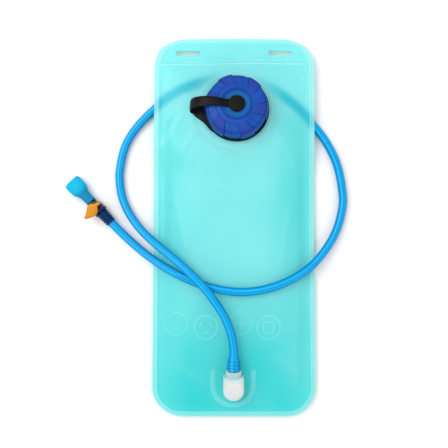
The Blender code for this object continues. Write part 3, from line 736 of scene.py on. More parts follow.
def back_height(x, y):
    """Lower face of the back film."""
    base = seam_height(y) - FILM_GAP / 2 - FILM_THICKNESS
    floor = SEAM_LOW - FILM_GAP / 2 - FILM_THICKNESS
    reach = (1.0 - smoothstep(*SEAM_LIFT_Y, y)) * floor * off_seam(border_distance(x, y))
    return base - reach * bulge(x, y, BACK_RAMP, BACK_RAMP, TOP_RAMP)


def floor_slack(x, y):
    """The back film's low waves, so that it rests on the floor in places and not all over."""
    inside = smoothstep(SEAM_WIDTH, SEAM_WIDTH + 0.020, border_distance(x, y))
    return inside * (0.0010 + 0.0008 * noise.noise(Vector((x * 14.0, y * 12.0, 11.0))))


def near_line(x, y, start, end):
    """Distance from a point to a straight line between two points."""
    along = Vector(end) - Vector(start)
    place = Vector((x, y)) - Vector(start)
    return (place - along * clamp(place.dot(along) / along.length_squared)).length


def painted_light_and_shade(x, y):
    """Painted light and shade of the film: pale in the middle and above, deep at the bottom and along the
    sides, with painted highlights along the slack folds.
    """
    # painted light in the middle and above, painted shade towards the bottom and along the sides
    value = 0.10 + 0.76 * smoothstep(-0.205, 0.005, y)
    side = smoothstep(0.030, 0.066, abs(x)) * (1.0 - smoothstep(0.100, 0.150, y)) * smoothstep(-0.110, 0.0, y)
    value -= 0.34 * side * (1.0 if x < 0.0 else 1.15)
    # a patch of painted shade above and right of the outlet, and painted light at the bottom corners
    value -= 0.20 * (1.0 - smoothstep(0.0, 0.050, math.hypot(x - 0.020, y + 0.135)))
    value += 0.16 * smoothstep(0.045, 0.080, abs(x)) * (1.0 - smoothstep(-0.150, -0.090, y))
    # painted highlights along the slack folds
    for start, end, strength in FOLDS:
        value += strength * (1.0 - smoothstep(0.0005, 0.0058, near_line(x, y, start, end)))
    return clamp(value + 0.05 * noise.noise(Vector((x * 30.0, y * 22.0, 5.0))))


def painted_hose_shade(x, y):
    """Painted blue shade where the hose behind the film shows through it, with soft edges."""
    if y < 0.060 or border_distance(x, y) < 0.0:
        return 0.0
    away = min(math.hypot(x - a, y - b) for a, b in HIDDEN_HOSE)
    neck = smoothstep(0.040, 0.056, distance(x, y, NECK))
    return (1.0 - smoothstep(0.0015, 0.0092, away)) * (0.30 + 0.60 * neck)


def outline_point(x, y):
    """Pull a point of the plain rectangle into the rounded corner."""
    inner_x = HALF_WIDTH - CORNER_RADIUS
    inner_y = HALF_LENGTH - CORNER_RADIUS
    u = max(abs(x) - inner_x, 0.0) / CORNER_RADIUS
    v = max(abs(y) - inner_y, 0.0) / CORNER_RADIUS
    if u > 0.0 and v > 0.0:
        reach = CORNER_RADIUS * max(u, v)
        angle = math.pi / 4 * (v / u if u > v else 2.0 - u / v)
        x = math.copysign(inner_x + reach * math.cos(angle), x)
        y = math.copysign(inner_y + reach * math.sin(angle), y)
    return x * half_width(y) / HALF_WIDTH, y


def needs_detail(x, y):
    """True where the film carries fine welds or marks inside its border."""
    if NECK_WELD_IN < neck_distance(x, y) < NECK_WELD_OUT or abs(y - header_line(x)) < WELD_REACH:
        return True
    if y < U_WELD_TOP and abs(u_distance(x, y)) < WELD_REACH:
        return True
    return any(math.hypot(x - disc[0], y - disc[1]) < DISC_RADIUS + 0.0018 for disc in DISCS)


def grid_lines(half, spacing):
    """Places from -half to half, in fine steps along the welded border."""
    band = [step * BORDER_STEP for step in range(BORDER_STEPS + 1)]
    inner = half - band[-1]
    lines = [-half + step for step in band[:-1]]
    lines += spread(-inner, inner, round(2 * inner / spacing))
    return lines + [half - step for step in band[-2::-1]]


def film_grid(spacing, detailed):
    """One layer of the film as a flat bmesh, finer along its border and where there is detail."""
    columns = grid_lines(HALF_WIDTH, spacing)
    rows = grid_lines(HALF_LENGTH, spacing)
    bm = bmesh.new()
    grid = []
    for row in rows:
        grid.append([bm.verts.new((*outline_point(column, row), 0.0)) for column in columns])
    for near, far in zip(grid, grid[1:]):
        for index in range(len(columns) - 1):
            bm.faces.new((near[index], near[index + 1], far[index + 1], far[index]))
    if detailed:
        edges = set()
        for face in bm.faces:
            centre = face.calc_center_median()
            if border_distance(centre.x, centre.y) > BORDER_INSIDE and needs_detail(centre.x, centre.y):
                edges.update(face.edges)
        bmesh.ops.subdivide_edges(bm, edges=list(edges), cuts=3, use_grid_fill=True)
    return bm


def film_holes(name, neck_and_outlet):
    """Cutters for the hanger slots and, in the front film, for the neck and the outlet."""
    radius = SLOT_WIDTH / 2
    straight = (SLOT_LENGTH - SLOT_WIDTH) / 2
    outline = arc(straight, 0.0, radius, -90, 90, 16) + arc(-straight, 0.0, radius, 90, 270, 16)
    rings = [[(x, y, height) for x, y in outline] for height in (0.0, 0.03)]
    tools = []
    for side, x, tilt in (("left", -SLOT_X, 0.0), ("right", SLOT_X, SLOT_TILT)):
        place = Matrix.Translation((x, SLOT_Y, 0.0)) @ Matrix.Rotation(tilt, 4, "Z")
        tools.append(loft(f"{name}_{side}", rings, place))
    if neck_and_outlet:
        for label, matrix, hole in (("neck", NECK_FRAME, NECK_HOLE_RADIUS),
                                    ("outlet", OUTLET_FRAME, OUTLET_HOLE_RADIUS)):
            tools.append(turned(f"{name}_{label}", cylinder(hole, -0.006, 0.01), 96, matrix))
    return tools


def trim_outline(film):
    """Draw the header's edge in a little towards its corners, and the right edge below the neck."""
    for vert in film.data.vertices:
        x, y = vert.co.x, vert.co.y
        vert.co.y -= (0.0013 + 0.0010 * (x / 0.060) ** 2) * smoothstep(0.1925, HALF_LENGTH, y)
        vert.co.x -= 0.0009 * smoothstep(0.070, HALF_WIDTH, x) * (1.0 - smoothstep(0.050, 0.110, y))


def make_film(name, node, look, spacing, upper, detailed):
    """A closed film; upper(x, y) gives its upper face."""
    bm = film_grid(spacing, detailed)
    for vert in bm.verts:
        vert.co.z = upper(vert.co.x, vert.co.y)
    film = add_object(name, to_mesh(name, bm, 60.0))
    solid = film.modifiers.new("Thickness", "SOLIDIFY")
    solid.thickness = FILM_THICKNESS
    solid.offset = -1.0
    combine(film, film_holes(name, detailed), "DIFFERENCE", 60.0)
    paint(film, "weld", lambda co: embossing(co.x, co.y)[1])
    # painted light and shade over the film
    paint(film, "painted_light_and_shade", lambda co: painted_light_and_shade(co.x, co.y))
    # painted blue shade where the hose lies behind the film
    paint(film, "painted_hose_shade", lambda co: painted_hose_shade(co.x, co.y))
    trim_outline(film)
    return settle(film, look, "reservoir", "film", node)


def make_films():
    """The two welded films, each a closed sheet."""
    front = film_material("film_front", FRONT_SOLID)
    back = film_material("film_back", BACK_SOLID)
    upper = make_film("reservoir_front", "front_film", front, FRONT_SPACING,
                      lambda x, y: front_height(x, y) + embossing(x, y)[0] + slackness(x, y), True)
    lower = make_film("reservoir_back", "back_film", back, BACK_SPACING,
                      lambda x, y: back_height(x, y) + FILM_THICKNESS + floor_slack(x, y), False)


# ---------- hose

def hose_sizes():
    """(centreline, outer radius, bore radius, how navy) from the outlet's sleeve to the valve's sleeve."""
    axis = OUTLET_FRAME @ Matrix.Translation((0.0, 0.0, OUTLET_AXIS_HEIGHT))
    start = [axis @ Vector((0.0, along, 0.0)) for along in spread(*OUTLET_SLEEVE, OUTLET_SLEEVE_STEPS)]
    middle = smooth_curve(HOSE_ROUTE, HOSE_SPACING)
    end = [VALVE_FRAME @ Vector((along, 0.0, 0.0))
           for along in spread(*reversed(VALVE_SLEEVE), VALVE_SLEEVE_STEPS)]
    stations = []
    for index, place in enumerate(start):
        along = (OUTLET_SLEEVE[1] - OUTLET_SLEEVE[0]) * index / (len(start) - 1)
        stretch = 1.0 - smoothstep(0.0060, 0.0200, along)
        rib = ridge(along % OUTLET_RIB_PITCH - OUTLET_RIB_PITCH / 2, 0.0034)
        rib *= 1.0 - smoothstep(0.0140, 0.0172, along)
        lip = 1.0 - 0.4 * (1.0 - smoothstep(0.0, 0.0005, along))
        outer = HOSE_RADIUS + (0.0020 * stretch + 0.0008 * rib * (0.4 + 0.6 * stretch)) * lip
        stations.append((place, outer, outer - 0.0012, 0.16 * stretch * (1.0 - rib)))
    for place in middle:
        stations.append((place, HOSE_RADIUS, HOSE_BORE, 0.0))
    for index, place in enumerate(end):
        back = (VALVE_SLEEVE[1] - VALVE_SLEEVE[0]) * index / (len(end) - 1)
        stretch = smoothstep(0.0, 0.0030, back)
        rib = ridge(back % VALVE_RIB_PITCH - VALVE_RIB_PITCH / 2, VALVE_RIB_PITCH)
        rib *= smoothstep(0.0010, 0.0030, back)
        outer = HOSE_RADIUS + stretch * (0.0006 + 0.0010 * rib + 0.035 * back)
        navy = smoothstep(0.0002, 0.0030, back) * (1.0 - 0.14 * rib)
        stations.append((place, outer, outer - 0.0011, navy))
    return stations


def make_hose(look):
    """The tube with its bore, skinned over its stations, and its centreline."""
    stations = hose_sizes()
    centres = [station[0] for station in stations]
    outside = []
    inside = []
    marks = []
    for index, (centre, outer, inner, core) in enumerate(stations):
        ahead = heading(centres, index).normalized()
        side = Vector((0.0, 0.0, 1.0)).cross(ahead).normalized()
        up = ahead.cross(side)
        # the side that the painted highlight leans to
        west = 1.0 if side.x - 0.5 * side.y < 0.0 else -1.0
        arms = []
        shares = []
        for step in range(HOSE_SIDES):
            turn = math.tau * step / HOSE_SIDES
            arms.append(side * math.cos(turn) + up * math.sin(turn))
            # painted highlight streaks on the upper side; painted shade on the edges, a thin line and the
            # underside
            across = west * math.cos(turn)
            top = math.sin(turn) > -0.2
            painted_highlight = max(ridge(across - 0.30, 0.50), 0.6 * ridge(across + 0.42, 0.34)) * float(top)
            painted_edge_shade = max(0.75 * ridge(across + 0.10, 0.26), smoothstep(0.62, 0.95, abs(across)), float(not top))
            shares.append((core, painted_highlight * (1.0 - core), 0.8 * painted_edge_shade))
        outside.append([centre + arm * outer for arm in arms])
        inside.append([centre + arm * inner for arm in arms])
        marks.append(shares)
    rings = outside + inside[::-1]
    hose = loft("drinking_hose", rings, closed=True, sharp_angle=60.0)
    paint_points(hose, chain(*rings), chain(*marks, *marks[::-1]), ("core", "painted_highlight", "painted_edge_shade"))
    settle(hose, look, "reservoir", "hose", "hose", "hose_end_outlet", "hose_end_valve")
    return hose, centres


# ---------- cap and tether

LOBES = 6
LOBE_HALF = math.radians(13.5)
LOBE_FIRST = math.radians(-8.0)
# each side of a lobe: (angle outside it, lobe share, painted shade in the groove)
LOBE_STEP = ((0.024, 0.0, 0.0), (0.010, 0.04, 1.0), (-0.006, 0.90, 1.0), (-0.018, 1.0, 0.0))
CAP_SWIRL = math.radians(-13.0)
CAP_BORE = 0.0297
CAP_CEILING = 0.0206
CAP_TOP = 0.0190                    # everything above this is on the cap's top
# painted shade lines round the cap
CAP_SHADE_LINES = {0.0302: 0.8, 0.0222: 0.15, 0.0218: 0.15, 0.0162: 1.0}     # (radius: darkness)
CAP_SHARP = 26.0
STRAP_HALF_THICKNESS = 0.0009
THREAD_PITCH = 0.0045
THREAD_STEPS = 48                   # a turn
THREAD_TURNS = 1.25


def cap_stations():
    """(angle, lobe share, share of painted shade in the grooves) round the cap, with steep steps at both
    sides of each lobe.
    """
    made = []
    pitch = math.tau / LOBES
    for number in range(LOBES):
        centre = LOBE_FIRST + number * pitch
        low = centre - LOBE_HALF
        high = centre + LOBE_HALF
        made += [(low - outside, lobe, painted_groove_shade) for outside, lobe, painted_groove_shade in LOBE_STEP]
        made += [(angle, 1.0, 0.0) for angle in spread(low + 0.018, high - 0.018, 6)[1:-1]]
        made += [(high + outside, lobe, painted_groove_shade) for outside, lobe, painted_groove_shade in LOBE_STEP[::-1]]
        middle = high + 0.45 * (low + pitch - high)
        made += [(angle, 0.0, 0.0) for angle in spread(high + 0.024, middle - 0.020, 4)[1:]]
        # painted shade lines between the lobes
        made += [(middle - 0.004, 0.0, 0.75), (middle + 0.004, 0.0, 0.75)]
        made += [(angle, 0.0, 0.0) for angle in spread(middle + 0.020, low + pitch - 0.024, 4)[:-1]]
    return made


def cap_outside():
    """(radius, height, how much a lobe stands out, swirl share) from the skirt's foot to the hole."""
    plain = [
        (0.0316, 0.0036), (0.0326, 0.0034), (0.0330, 0.0040), (0.0329, 0.0080), (0.0327, 0.0120),
        (0.0323, 0.0160), (0.0318, 0.0184), (0.0311, 0.0196), (0.0302, 0.0204), (0.0290, 0.0208),
        (0.0270, 0.0212), (0.0245, 0.0216), (0.0227, 0.0219), (0.0222, 0.0217), (0.0218, 0.0217),
        (0.0213, 0.0221), (0.0195, 0.0224), (0.0178, 0.0227),
        (0.0171, 0.0228), (0.0167, 0.0224), (0.0162, 0.0223), (0.0158, 0.0226), (0.0154, 0.0232),
        (0.0149, 0.0233), (0.0145, 0.0229), (0.0142, 0.0224), (0.0136, 0.0223), (0.0100, 0.0223),
        (0.0033, 0.0223), (0.0033, 0.0207),
    ]
    made = []
    for radius, height in plain:
        out = smoothstep(0.0168, 0.0200, radius) if height > CAP_TOP else 1.0
        if height < 0.0037:
            out = 0.4
        swirl = clamp((0.0307 - radius) / 0.0147) if height > CAP_TOP else 0.0
        made.append((radius, height, out, swirl))
    return made


def make_cap(look):
    """The shell with its six lobes, painted shade lines and inside thread."""
    inside = [(CAP_BORE, CAP_CEILING), (CAP_BORE, 0.0160), (CAP_BORE, 0.0105), (CAP_BORE, 0.0040)]
    outside = cap_outside()
    rings = []
    marks = []
    for angle, lobe, painted_groove_shade in cap_stations():
        ring = []
        for radius, height, out, swirl in outside:
            turn = angle + CAP_SWIRL * swirl
            top = height > CAP_TOP
            far = radius + (0.0011 * lobe * out if radius > 0.0250 else 0.0)
            rise = 0.00085 * lobe * out * smoothstep(0.0168, 0.0300, radius) if top else 0.0
            ring.append((far * math.cos(turn), far * math.sin(turn), height + rise))
            # painted shade on the lobes, and painted shade lines in the grooves and round the rings
            painted_lobe_shade = lobe * out * smoothstep(0.0185, 0.0275, radius)
            line = CAP_SHADE_LINES.get(radius, 0.0)
            marks.append((painted_lobe_shade, max(painted_groove_shade * smoothstep(0.0165, 0.0225, radius), line)))
        for radius, height in inside:
            ring.append((radius * math.cos(angle), radius * math.sin(angle), height))
            marks.append((0.0, 0.0))
        rings.append(ring)
    cap = loft("cap_cover", rings, closed=True, sharp_angle=CAP_SHARP)
    paint_points(cap, chain(*rings), marks, ("lobe", "painted_groove_shade"))
    # painted light in the recess round the button
    paint(cap, "painted_recess_light", lambda co: (1.0 - smoothstep(0.0130, 0.0150, math.hypot(co.x, co.y)))
          * smoothstep(0.0215, 0.0220, co.z))
    cap.data.transform(NECK_FRAME)
    add_thread(cap)
    return settle(cap, look, "cap", "cap", "cap_shell")


def add_thread(cap):
    """The inside thread, as a second closed body in the same mesh."""
    root = CAP_BORE + 0.0004
    last = int(THREAD_STEPS * THREAD_TURNS)
    rings = []
    for index in range(last + 1):
        angle = math.tau * index / THREAD_STEPS
        fade = min(index / 4.0, (last - index) / 4.0, 1.0)
        crest = root - 0.0021 * (0.2 + 0.8 * fade)
        height = 0.0092 + THREAD_PITCH * index / THREAD_STEPS
        section = [(root, -0.0012), (crest + 0.0003, -0.0006), (crest, -0.0003),
                   (crest, 0.0003), (crest + 0.0003, 0.0006), (root, 0.0012)]
        rings.append([NECK_FRAME @ Vector((radius * math.cos(angle), radius * math.sin(angle), height + step))
                      for radius, step in section])
    thread = loft("cap_thread", rings)
    bm = bmesh.new()
    bm.from_mesh(cap.data)
    bm.from_mesh(thread.data)
    bm.to_mesh(cap.data)
    bm.free()
    bpy.data.objects.remove(thread)
    cap.data.set_sharp_from_angle(angle=math.radians(CAP_SHARP))


def make_tether(look):
    """One black moulding: the ring with its ear, the button, and the strap that stretches between them."""
    ring_profile = rounded([(0.0296, 0.0004), (0.0352, 0.0004), (0.0352, 0.0030), (0.0296, 0.0030)],
                           0.0007, closed=True)
    ring = turned("tether_collar", ring_profile, 128, NECK_FRAME)
    combine(ring, [tether_ear()], "UNION")
    settle(ring, look, "reservoir", "tether", "tether_ring")

    button_profile = rounded([
        (0.0, 0.0182), (0.0026, 0.0182), (0.0043, 0.0196), (0.0043, 0.0204), (0.0029, 0.0204),
        (0.0029, 0.0228), (0.0083, 0.0228), (0.0088, 0.0234), (0.0087, 0.0247), (0.0078, 0.0254),
        (0.0, 0.0256)], 0.0005)
    button = turned("tether_stud", button_profile, 96, NECK_FRAME)
    settle(button, look, "tether", "tether", "tether_button")

    strap = make_strap()
    settle(strap, look, None, "tether", "tether_strap")
    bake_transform(strap)


def tether_ear():
    """Flat web that joins the strap to the ring, with a long hollow side below."""
    outline = [(-0.0300, 0.0074), (-0.0350, 0.0070), (-0.0400, 0.0064), (-0.0442, 0.0054),
               (-0.0466, 0.0030), (-0.0472, -0.0012), (-0.0458, -0.0058), (-0.0430, -0.0090),
               (-0.0398, -0.0112), (-0.0368, -0.0133), (-0.0342, -0.0156), (-0.0316, -0.0186),
               (-0.0290, -0.0217), (-0.0258, -0.0246), (-0.0236, -0.0228), (-0.0262, -0.0196),
               (-0.0310, -0.0100), (-0.0322, 0.0020), (-0.0300, 0.0066)]
    outline = flat_curve(outline, 0.0012)
    levels = ((0.0006, 0.0004), (0.0002, 0.0008), (0.0, 0.0012),
              (0.0, 0.0021), (0.0002, 0.0025), (0.0006, 0.0028))
    middle = Vector((-0.0350, -0.0080))
    rings = []
    for inset, height in levels:
        ring = []
        for x, y in outline:
            arm = Vector((x, y)) - middle
            point = middle + arm * (1.0 - inset / max(arm.length, 0.004))
            ring.append((point.x, point.y, height))
        rings.append(ring)
    return loft("ear", rings, NECK_FRAME)


def make_strap():
    """Flat rubber strap with rounded edges, from the ring's ear up and over the cap to the button."""
    route = (
        (-0.0070, 0.0002, 0.0241),
        (-0.0120, 0.0006, 0.0246),
        (-0.0200, 0.0018, 0.0254),
        (-0.0310, 0.0024, 0.0248),
        (-0.0400, 0.0024, 0.0220),
        (-0.0459, 0.0022, 0.0170),
        (-0.0484, 0.0016, 0.0112),
        (-0.0484, 0.0008, 0.0066),
        (-0.0467, 0.0000, 0.0035),
        (-0.0438, -0.0006, 0.0022),
        (-0.0392, -0.0010, 0.0018),
    )
    centres = smooth_curve(route, 0.0011)
    outline = rounded([(1.0, -1.0), (1.0, 1.0), (-1.0, 1.0), (-1.0, -1.0)], 0.75, 4, closed=True)
    rings = []
    for index, centre in enumerate(centres):
        ahead = heading(centres, index)
        along = index / (len(centres) - 1)
        share = smoothstep(0.45, 1.0, along)
        across = Vector((0.0, 1.0, 0.0)).lerp(Vector((0.10, 0.99, 0.0)), share)
        across = (across - across.project(ahead)).normalized()
        thick = ahead.cross(across).normalized()
        wide = 0.0042 + 0.0013 * smoothstep(0.10, 0.50, along)
        ring = []
        for out, up in outline:
            out = 0.85 * out + 0.15 * out * abs(out)
            ring.append(NECK_FRAME @ (centre + across * wide * out + thick * STRAP_HALF_THICKNESS * up))
        rings.append(ring)
    return loft("tether_band", rings)


# ---------- outlet

ELBOW_RADIUS = 0.0113
ELBOW_TOP = 0.0149
ELBOW_SHOULDER = 0.0018
ELBOW_LEAN = 0.10                   # along the outlet, for each metre up
TEETH = 30


def u_ring(inset, height):
    """One level of the elbow: round at the bottom, straight sides and rounded shoulders on top."""
    wide = ELBOW_RADIUS - inset
    flat = ELBOW_TOP - inset
    curve = max(ELBOW_SHOULDER - inset, 0.0008)
    ring = arc(0.0, 0.0, wide, 180, 360, 32)
    ring += arc(wide - curve, flat - curve, curve, 0, 90, 6)
    ring += arc(curve - wide, flat - curve, curve, 90, 180, 6)
    return [(x, y + ELBOW_LEAN * height, height) for x, y in ring]


def make_outlet(white):
    """The elbow with its socket and passage, and the barbed tail with its toothed ring."""
    levels = [(0.0006, 0.0003), (0.0, 0.0009), (0.0, 0.0130), (0.0004, 0.0150), (0.0012, 0.0165),
              (0.0024, 0.0175), (0.0040, 0.0180), (0.0062, 0.0182)]
    elbow = loft("outlet_cover", [u_ring(*level) for level in levels], OUTLET_FRAME)
    along = OUTLET_FRAME @ Matrix.Translation((0.0, 0.0, OUTLET_AXIS_HEIGHT))
    socket = [(0.0, -0.001), (0.0086, -0.001), (0.0086, 0.0060), (0.0045, 0.0060),
              (0.0045, OUTLET_AXIS_HEIGHT), (0.0, OUTLET_AXIS_HEIGHT)]
    tools = [turned("passage", cylinder(0.0055, 0.0094, 0.0170), 48, along, "Y"),
             turned("socket", socket, 64, OUTLET_FRAME)]
    combine(elbow, tools, "DIFFERENCE")
    # painted grey shade on the elbow's upper shoulder
    paint(elbow, "painted_outlet_shade", lambda co: 0.8 * smoothstep(OUTLET.y + 0.0070, OUTLET.y + 0.0115, co.y))
    settle(elbow, white, "reservoir", "outlet_white", "outlet_elbow")

    tail_profile = rounded([
        (0.0022, 0.0098), (0.0051, 0.0098), (0.0052, 0.0112), (0.0038, 0.0112), (0.0038, 0.0134),
        (0.0052, 0.0134), (0.0052, 0.0158), (0.0084, 0.0158), (0.0084, 0.0220), (0.0046, 0.0220),
        (0.0046, 0.0250), (0.0051, 0.0256), (0.0045, 0.0286), (0.0049, 0.0292), (0.0042, 0.0322),
        (0.0034, 0.0365), (0.0022, 0.0365)], 0.0004, 3, closed=True)

    def toothed(angle, radius, height):
        wave = 0.5 + 0.5 * math.cos(TEETH * angle)
        share = smoothstep(0.0066, 0.0082, radius)
        return radius - 0.0009 * share * (1.0 - smoothstep(0.35, 0.65, wave)), height

    # painted grey shade over the tail, a little lighter on its teeth
    def shading(co):
        place = along.inverted() @ co
        return 0.60 + 0.40 * (1.0 - smoothstep(0.0076, 0.0083, math.hypot(place.x, place.z)))

    tail = turned("outlet_tail", tail_profile, TEETH * 6, along, "Y", toothed)
    paint(tail, "painted_outlet_shade", shading)
    settle(tail, white, "reservoir", "outlet_white", "hose_tail")


# ---------- bite valve and shut-off

BITE_SIDES = 48
BARBS = 6
BARB_START = 0.0476
BARB_LENGTH = 0.0169
HOUSING_FLOOR = -LEVER_PIVOT.z


def squircle(wide, tall, power):
    """A closed outline between an ellipse, at power 2, and a rectangle."""
    made = []
    for index in range(BITE_SIDES):
        angle = math.tau * index / BITE_SIDES
        across = math.cos(angle)
        up = math.sin(angle)
        size = (abs(across) ** power + abs(up) ** power) ** (-1.0 / power)
        made.append((wide * across * size, tall * up * size))
    return made


def make_bite(look):
    """Soft block with a slit face on a round neck, hollow from behind."""
    stations = (
        (0.00005, 0.0056, 0.0034, 3.2), (0.0000, 0.0076, 0.0050, 3.4), (0.0004, 0.0085, 0.0060, 3.4),
        (0.0011, 0.0091, 0.0067, 3.4), (0.0024, 0.0095, 0.0072, 3.4), (0.0050, 0.0096, 0.0074, 3.3),
        (0.0090, 0.0095, 0.0075, 3.2), (0.0120, 0.0094, 0.0075, 3.1), (0.0140, 0.0090, 0.0073, 2.9),
        (0.0156, 0.0082, 0.0070, 2.6), (0.0172, 0.0072, 0.0066, 2.3), (0.0188, 0.0064, 0.0061, 2.1),
        (0.0205, 0.0059, 0.0058, 2.0), (0.0240, 0.0056, 0.0056, 2.0), (0.0285, 0.0055, 0.0055, 2.0),
        (0.0300, 0.0057, 0.0057, 2.0), (0.0308, 0.0057, 0.0057, 2.0), (0.0312, 0.0054, 0.0054, 2.0),
        (0.0312, 0.0046, 0.0046, 2.0), (0.0200, 0.0046, 0.0046, 2.0), (0.0150, 0.0066, 0.0050, 2.4),
        (0.0080, 0.0070, 0.0050, 2.8), (0.0036, 0.0066, 0.0042, 2.8))
    rings = [[(place, across, up) for across, up in squircle(wide, tall, power)]
             for place, wide, tall, power in stations]
    bite = loft("bite_mouthpiece", rings)
    slit_outline = rounded([(-0.0052, -0.00035), (0.0052, -0.00035), (0.0052, 0.00035), (-0.0052, 0.00035)],
                           0.0003, closed=True)
    slit = loft("slit", [[(depth, across, up) for across, up in slit_outline] for depth in (-0.001, 0.0010)])
    combine(bite, [slit], "DIFFERENCE")
    paint(bite, "neck", lambda co: 0.9 * smoothstep(0.0135, 0.0195, co.x))
    bite.data.transform(VALVE_FRAME)
    return settle(bite, look, "reservoir", "bite_silicone", "bite_valve")


def make_valve_body(look):
    """Spigot, housing, collar and barbed tail in one moulding, with the rotor's bore and the passage."""
    barbs = []
    for number in range(BARBS):
        near = BARB_START + number * BARB_LENGTH / BARBS
        barbs += [(0.0042, near), (0.0042, near + 0.0006), (0.0050, near + 0.0010)]
    profile = [
        (0.0, 0.0200), (0.0034, 0.0200), (0.0042, 0.0215), (0.0036, 0.0225), (0.0036, 0.0314),
        (0.0052, 0.0316), (0.0052, 0.0334), (0.0045, 0.0338), (0.0045, 0.0350), (0.0052, 0.0354),
        (0.0052, 0.0440), (0.0076, 0.0442), (0.0077, 0.0456), (0.0073, 0.0460), (0.0077, 0.0464),
        (0.0076, 0.0473), (0.0046, 0.0474)]
    profile += barbs + [(0.0042, 0.0645), (0.0, 0.0645)]
    body = turned("valve_housing", rounded(profile, 0.0004, 3), 64, axis="X")
    upright = Matrix.Translation((ROTOR_PLACE, 0.0, 0.0))
    shell = rounded(cylinder(0.0070, HOUSING_FLOOR + 0.0003, 0.0071), 0.0009)
    combine(body, [turned("housing", shell, 64, upright)], "UNION")
    tools = [turned("bore", cylinder(0.0049, HOUSING_FLOOR + 0.0020, 0.0090), 64, upright),
             turned("flow", cylinder(0.0022, 0.0190, 0.0660), 32, axis="X")]
    combine(body, tools, "DIFFERENCE")
    body.data.transform(VALVE_FRAME)
    return settle(body, look, "reservoir", "valve_navy", "valve_body")


def make_lever(look):
    """Domed teardrop paddle with a narrow tail, its tip down to the lower left."""
    corners = (
        (-0.0010, 0.0085), (0.0005, 0.0091), (0.0019, 0.0086), (0.0022, 0.0072), (0.0015, 0.0056),
        (0.0018, 0.0044), (0.0031, 0.0034), (0.0046, 0.0022), (0.0060, 0.0006), (0.0068, -0.0013),
        (0.0070, -0.0032), (0.0068, -0.0052), (0.0061, -0.0076), (0.0050, -0.0101), (0.0038, -0.0124),
        (0.0027, -0.0141), (0.0015, -0.0147), (0.0005, -0.0140), (-0.0005, -0.0118), (-0.0018, -0.0091),
        (-0.0036, -0.0065), (-0.0052, -0.0044), (-0.0061, -0.0023), (-0.0061, -0.0004), (-0.0053, 0.0012),
        (-0.0040, 0.0026), (-0.0028, 0.0040), (-0.0023, 0.0055), (-0.0020, 0.0072))
    route = [(x - 0.0010, y - 0.0020) for x, y in corners + corners[:1]]
    outline = [Vector(point) for point in flat_curve(route, 0.0008)[:-1]]
    levels = ((0.82, 0.0079), (0.95, 0.0080), (1.0, 0.0084), (1.0, 0.0098), (0.97, 0.0105), (0.88, 0.0111),
              (0.70, 0.0116), (0.45, 0.0119), (0.20, 0.0120))
    rings = []
    for scale, height in levels:
        ring = []
        for point in outline:
            bend = 0.0016 * smoothstep(0.0, 0.0140, -point.y) - 0.0005
            spine = Vector((bend, clamp(point.y, -0.0145, 0.0050)))
            near = spine + (point - spine) * scale
            dip = 0.0003 * ridge(math.hypot(near.x, near.y + 0.0045), 0.0080) if height > 0.0107 else 0.0
            ring.append((near.x, near.y, height - dip))
        rings.append(ring)
    lever = loft("shutoff_paddle", rings, sharp_angle=50.0)
    combine(lever, [turned("pocket", cylinder(0.0025, 0.0070, 0.0096), 48)], "DIFFERENCE", 50.0)
    lever.data.transform(LEVER_FRAME)
    return settle(lever, look, "lever", "lever_orange", "shutoff_lever")


# ---------- stage

def add_light(name, place, size, power, colour):
    """An area light that points at the middle of the floor."""
    data = bpy.data.lights.new(name, "AREA")
    data.shape = "RECTANGLE"
    data.size, data.size_y = size
    data.energy = power
    data.color = colour
    lamp = bpy.data.objects.new(name, data)
    bpy.context.scene.collection.objects.link(lamp)
    lamp.location = place
    lamp.rotation_euler = (-Vector(place)).to_track_quat("-Z", "Y").to_euler()


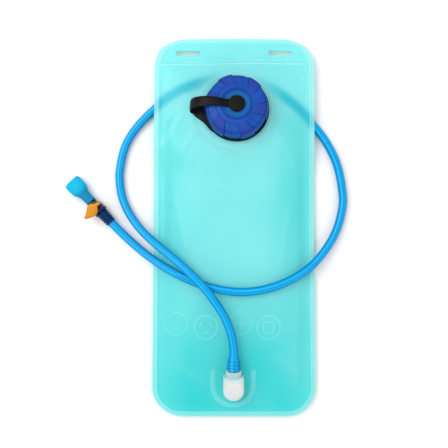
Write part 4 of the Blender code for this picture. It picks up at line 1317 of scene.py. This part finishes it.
def make_stage():
    """A plain pale floor, soft light from above and a camera that looks straight down."""
    scene = bpy.context.scene
    scene.view_settings.view_transform = "Standard"
    scene.cycles.transparent_max_bounces = 24
    world = bpy.data.worlds.new("studio")
    scene.world = world
    world.use_nodes = True
    sky = world.node_tree.nodes["Background"]
    sky.inputs["Color"].default_value = (1.0, 1.0, 1.0, 1.0)
    sky.inputs["Strength"].default_value = SKY_STRENGTH
    world.cycles_visibility.glossy = False
    add_light("key", (-0.62, 0.34, 1.15), (0.85, 0.85), 8.5, (1.0, 0.995, 0.98))
    add_light("fill", (1.1, -0.9, 1.1), (1.2, 1.2), 3.0, (0.98, 0.99, 1.0))

    nodes = Nodes("floor_white")
    colour = nodes.mix(nodes.noise(3.0), (0.93, 0.93, 0.93), (0.95, 0.95, 0.95))
    nodes.link(colour, nodes.shader.inputs["Base Color"])
    nodes.set(Roughness=0.9)
    bm = bmesh.new()
    bmesh.ops.create_grid(bm, x_segments=4, y_segments=4, size=4.0)
    floor = add_object("floor", to_mesh("floor", bm))
    floor.data.materials.append(nodes.material)

    lens = bpy.data.cameras.new("camera")
    lens.angle = CAMERA_VIEW
    camera = bpy.data.objects.new("camera", lens)
    scene.collection.objects.link(camera)
    camera.location = CAMERA_PLACE
    scene.camera = camera


def dress(look, *names):
    """Put a material on CAD nodes that stay in view."""
    for name in names:
        slots = frame["nodes"][name].data.materials
        slots.clear()
        slots.append(look)


# ---------- assembly

def main():
    make_stage()
    hose_look = hose_material()
    rubber = plastic("black_rubber", ((0.006, 0.006, 0.006), (0.009, 0.009, 0.009)), (0.42, 0.55),
                     90.0, 1200.0, 0.2)
    white = outlet_material()
    navy = plastic("navy_plastic", ((0.001, 0.007, 0.050), (0.002, 0.011, 0.075)), (0.28, 0.40),
                   120.0, 1000.0)
    orange = plastic("lever_orange", ((0.62, 0.222, 0.006), (0.68, 0.262, 0.010)), (0.36, 0.46),
                     110.0, 900.0, 0.2)
    pale = plastic("liner_pale", ((0.72, 0.75, 0.75), (0.78, 0.80, 0.80)), (0.36, 0.48), 80.0, 900.0)
    seal = plastic("seal_grey", ((0.48, 0.50, 0.51), (0.56, 0.58, 0.59)), (0.50, 0.62), 150.0, 1200.0)
    flange = flange_material()

    hose, centres = make_hose(hose_look)
    make_films()
    make_cap(cap_material())
    make_tether(rubber)
    make_outlet(white)
    bite = make_bite(silicone_material())
    body = make_valve_body(navy)
    lever = make_lever(orange)
    dress(flange, "neck_collar", "outlet_flange")
    dress(pale, "cap_liner")
    dress(seal, "cap_gasket", "elbow_seal", "hose_tail_seal", "rotor_seal_lower", "rotor_seal_upper")
    dress(navy, "valve_rotor")


main()
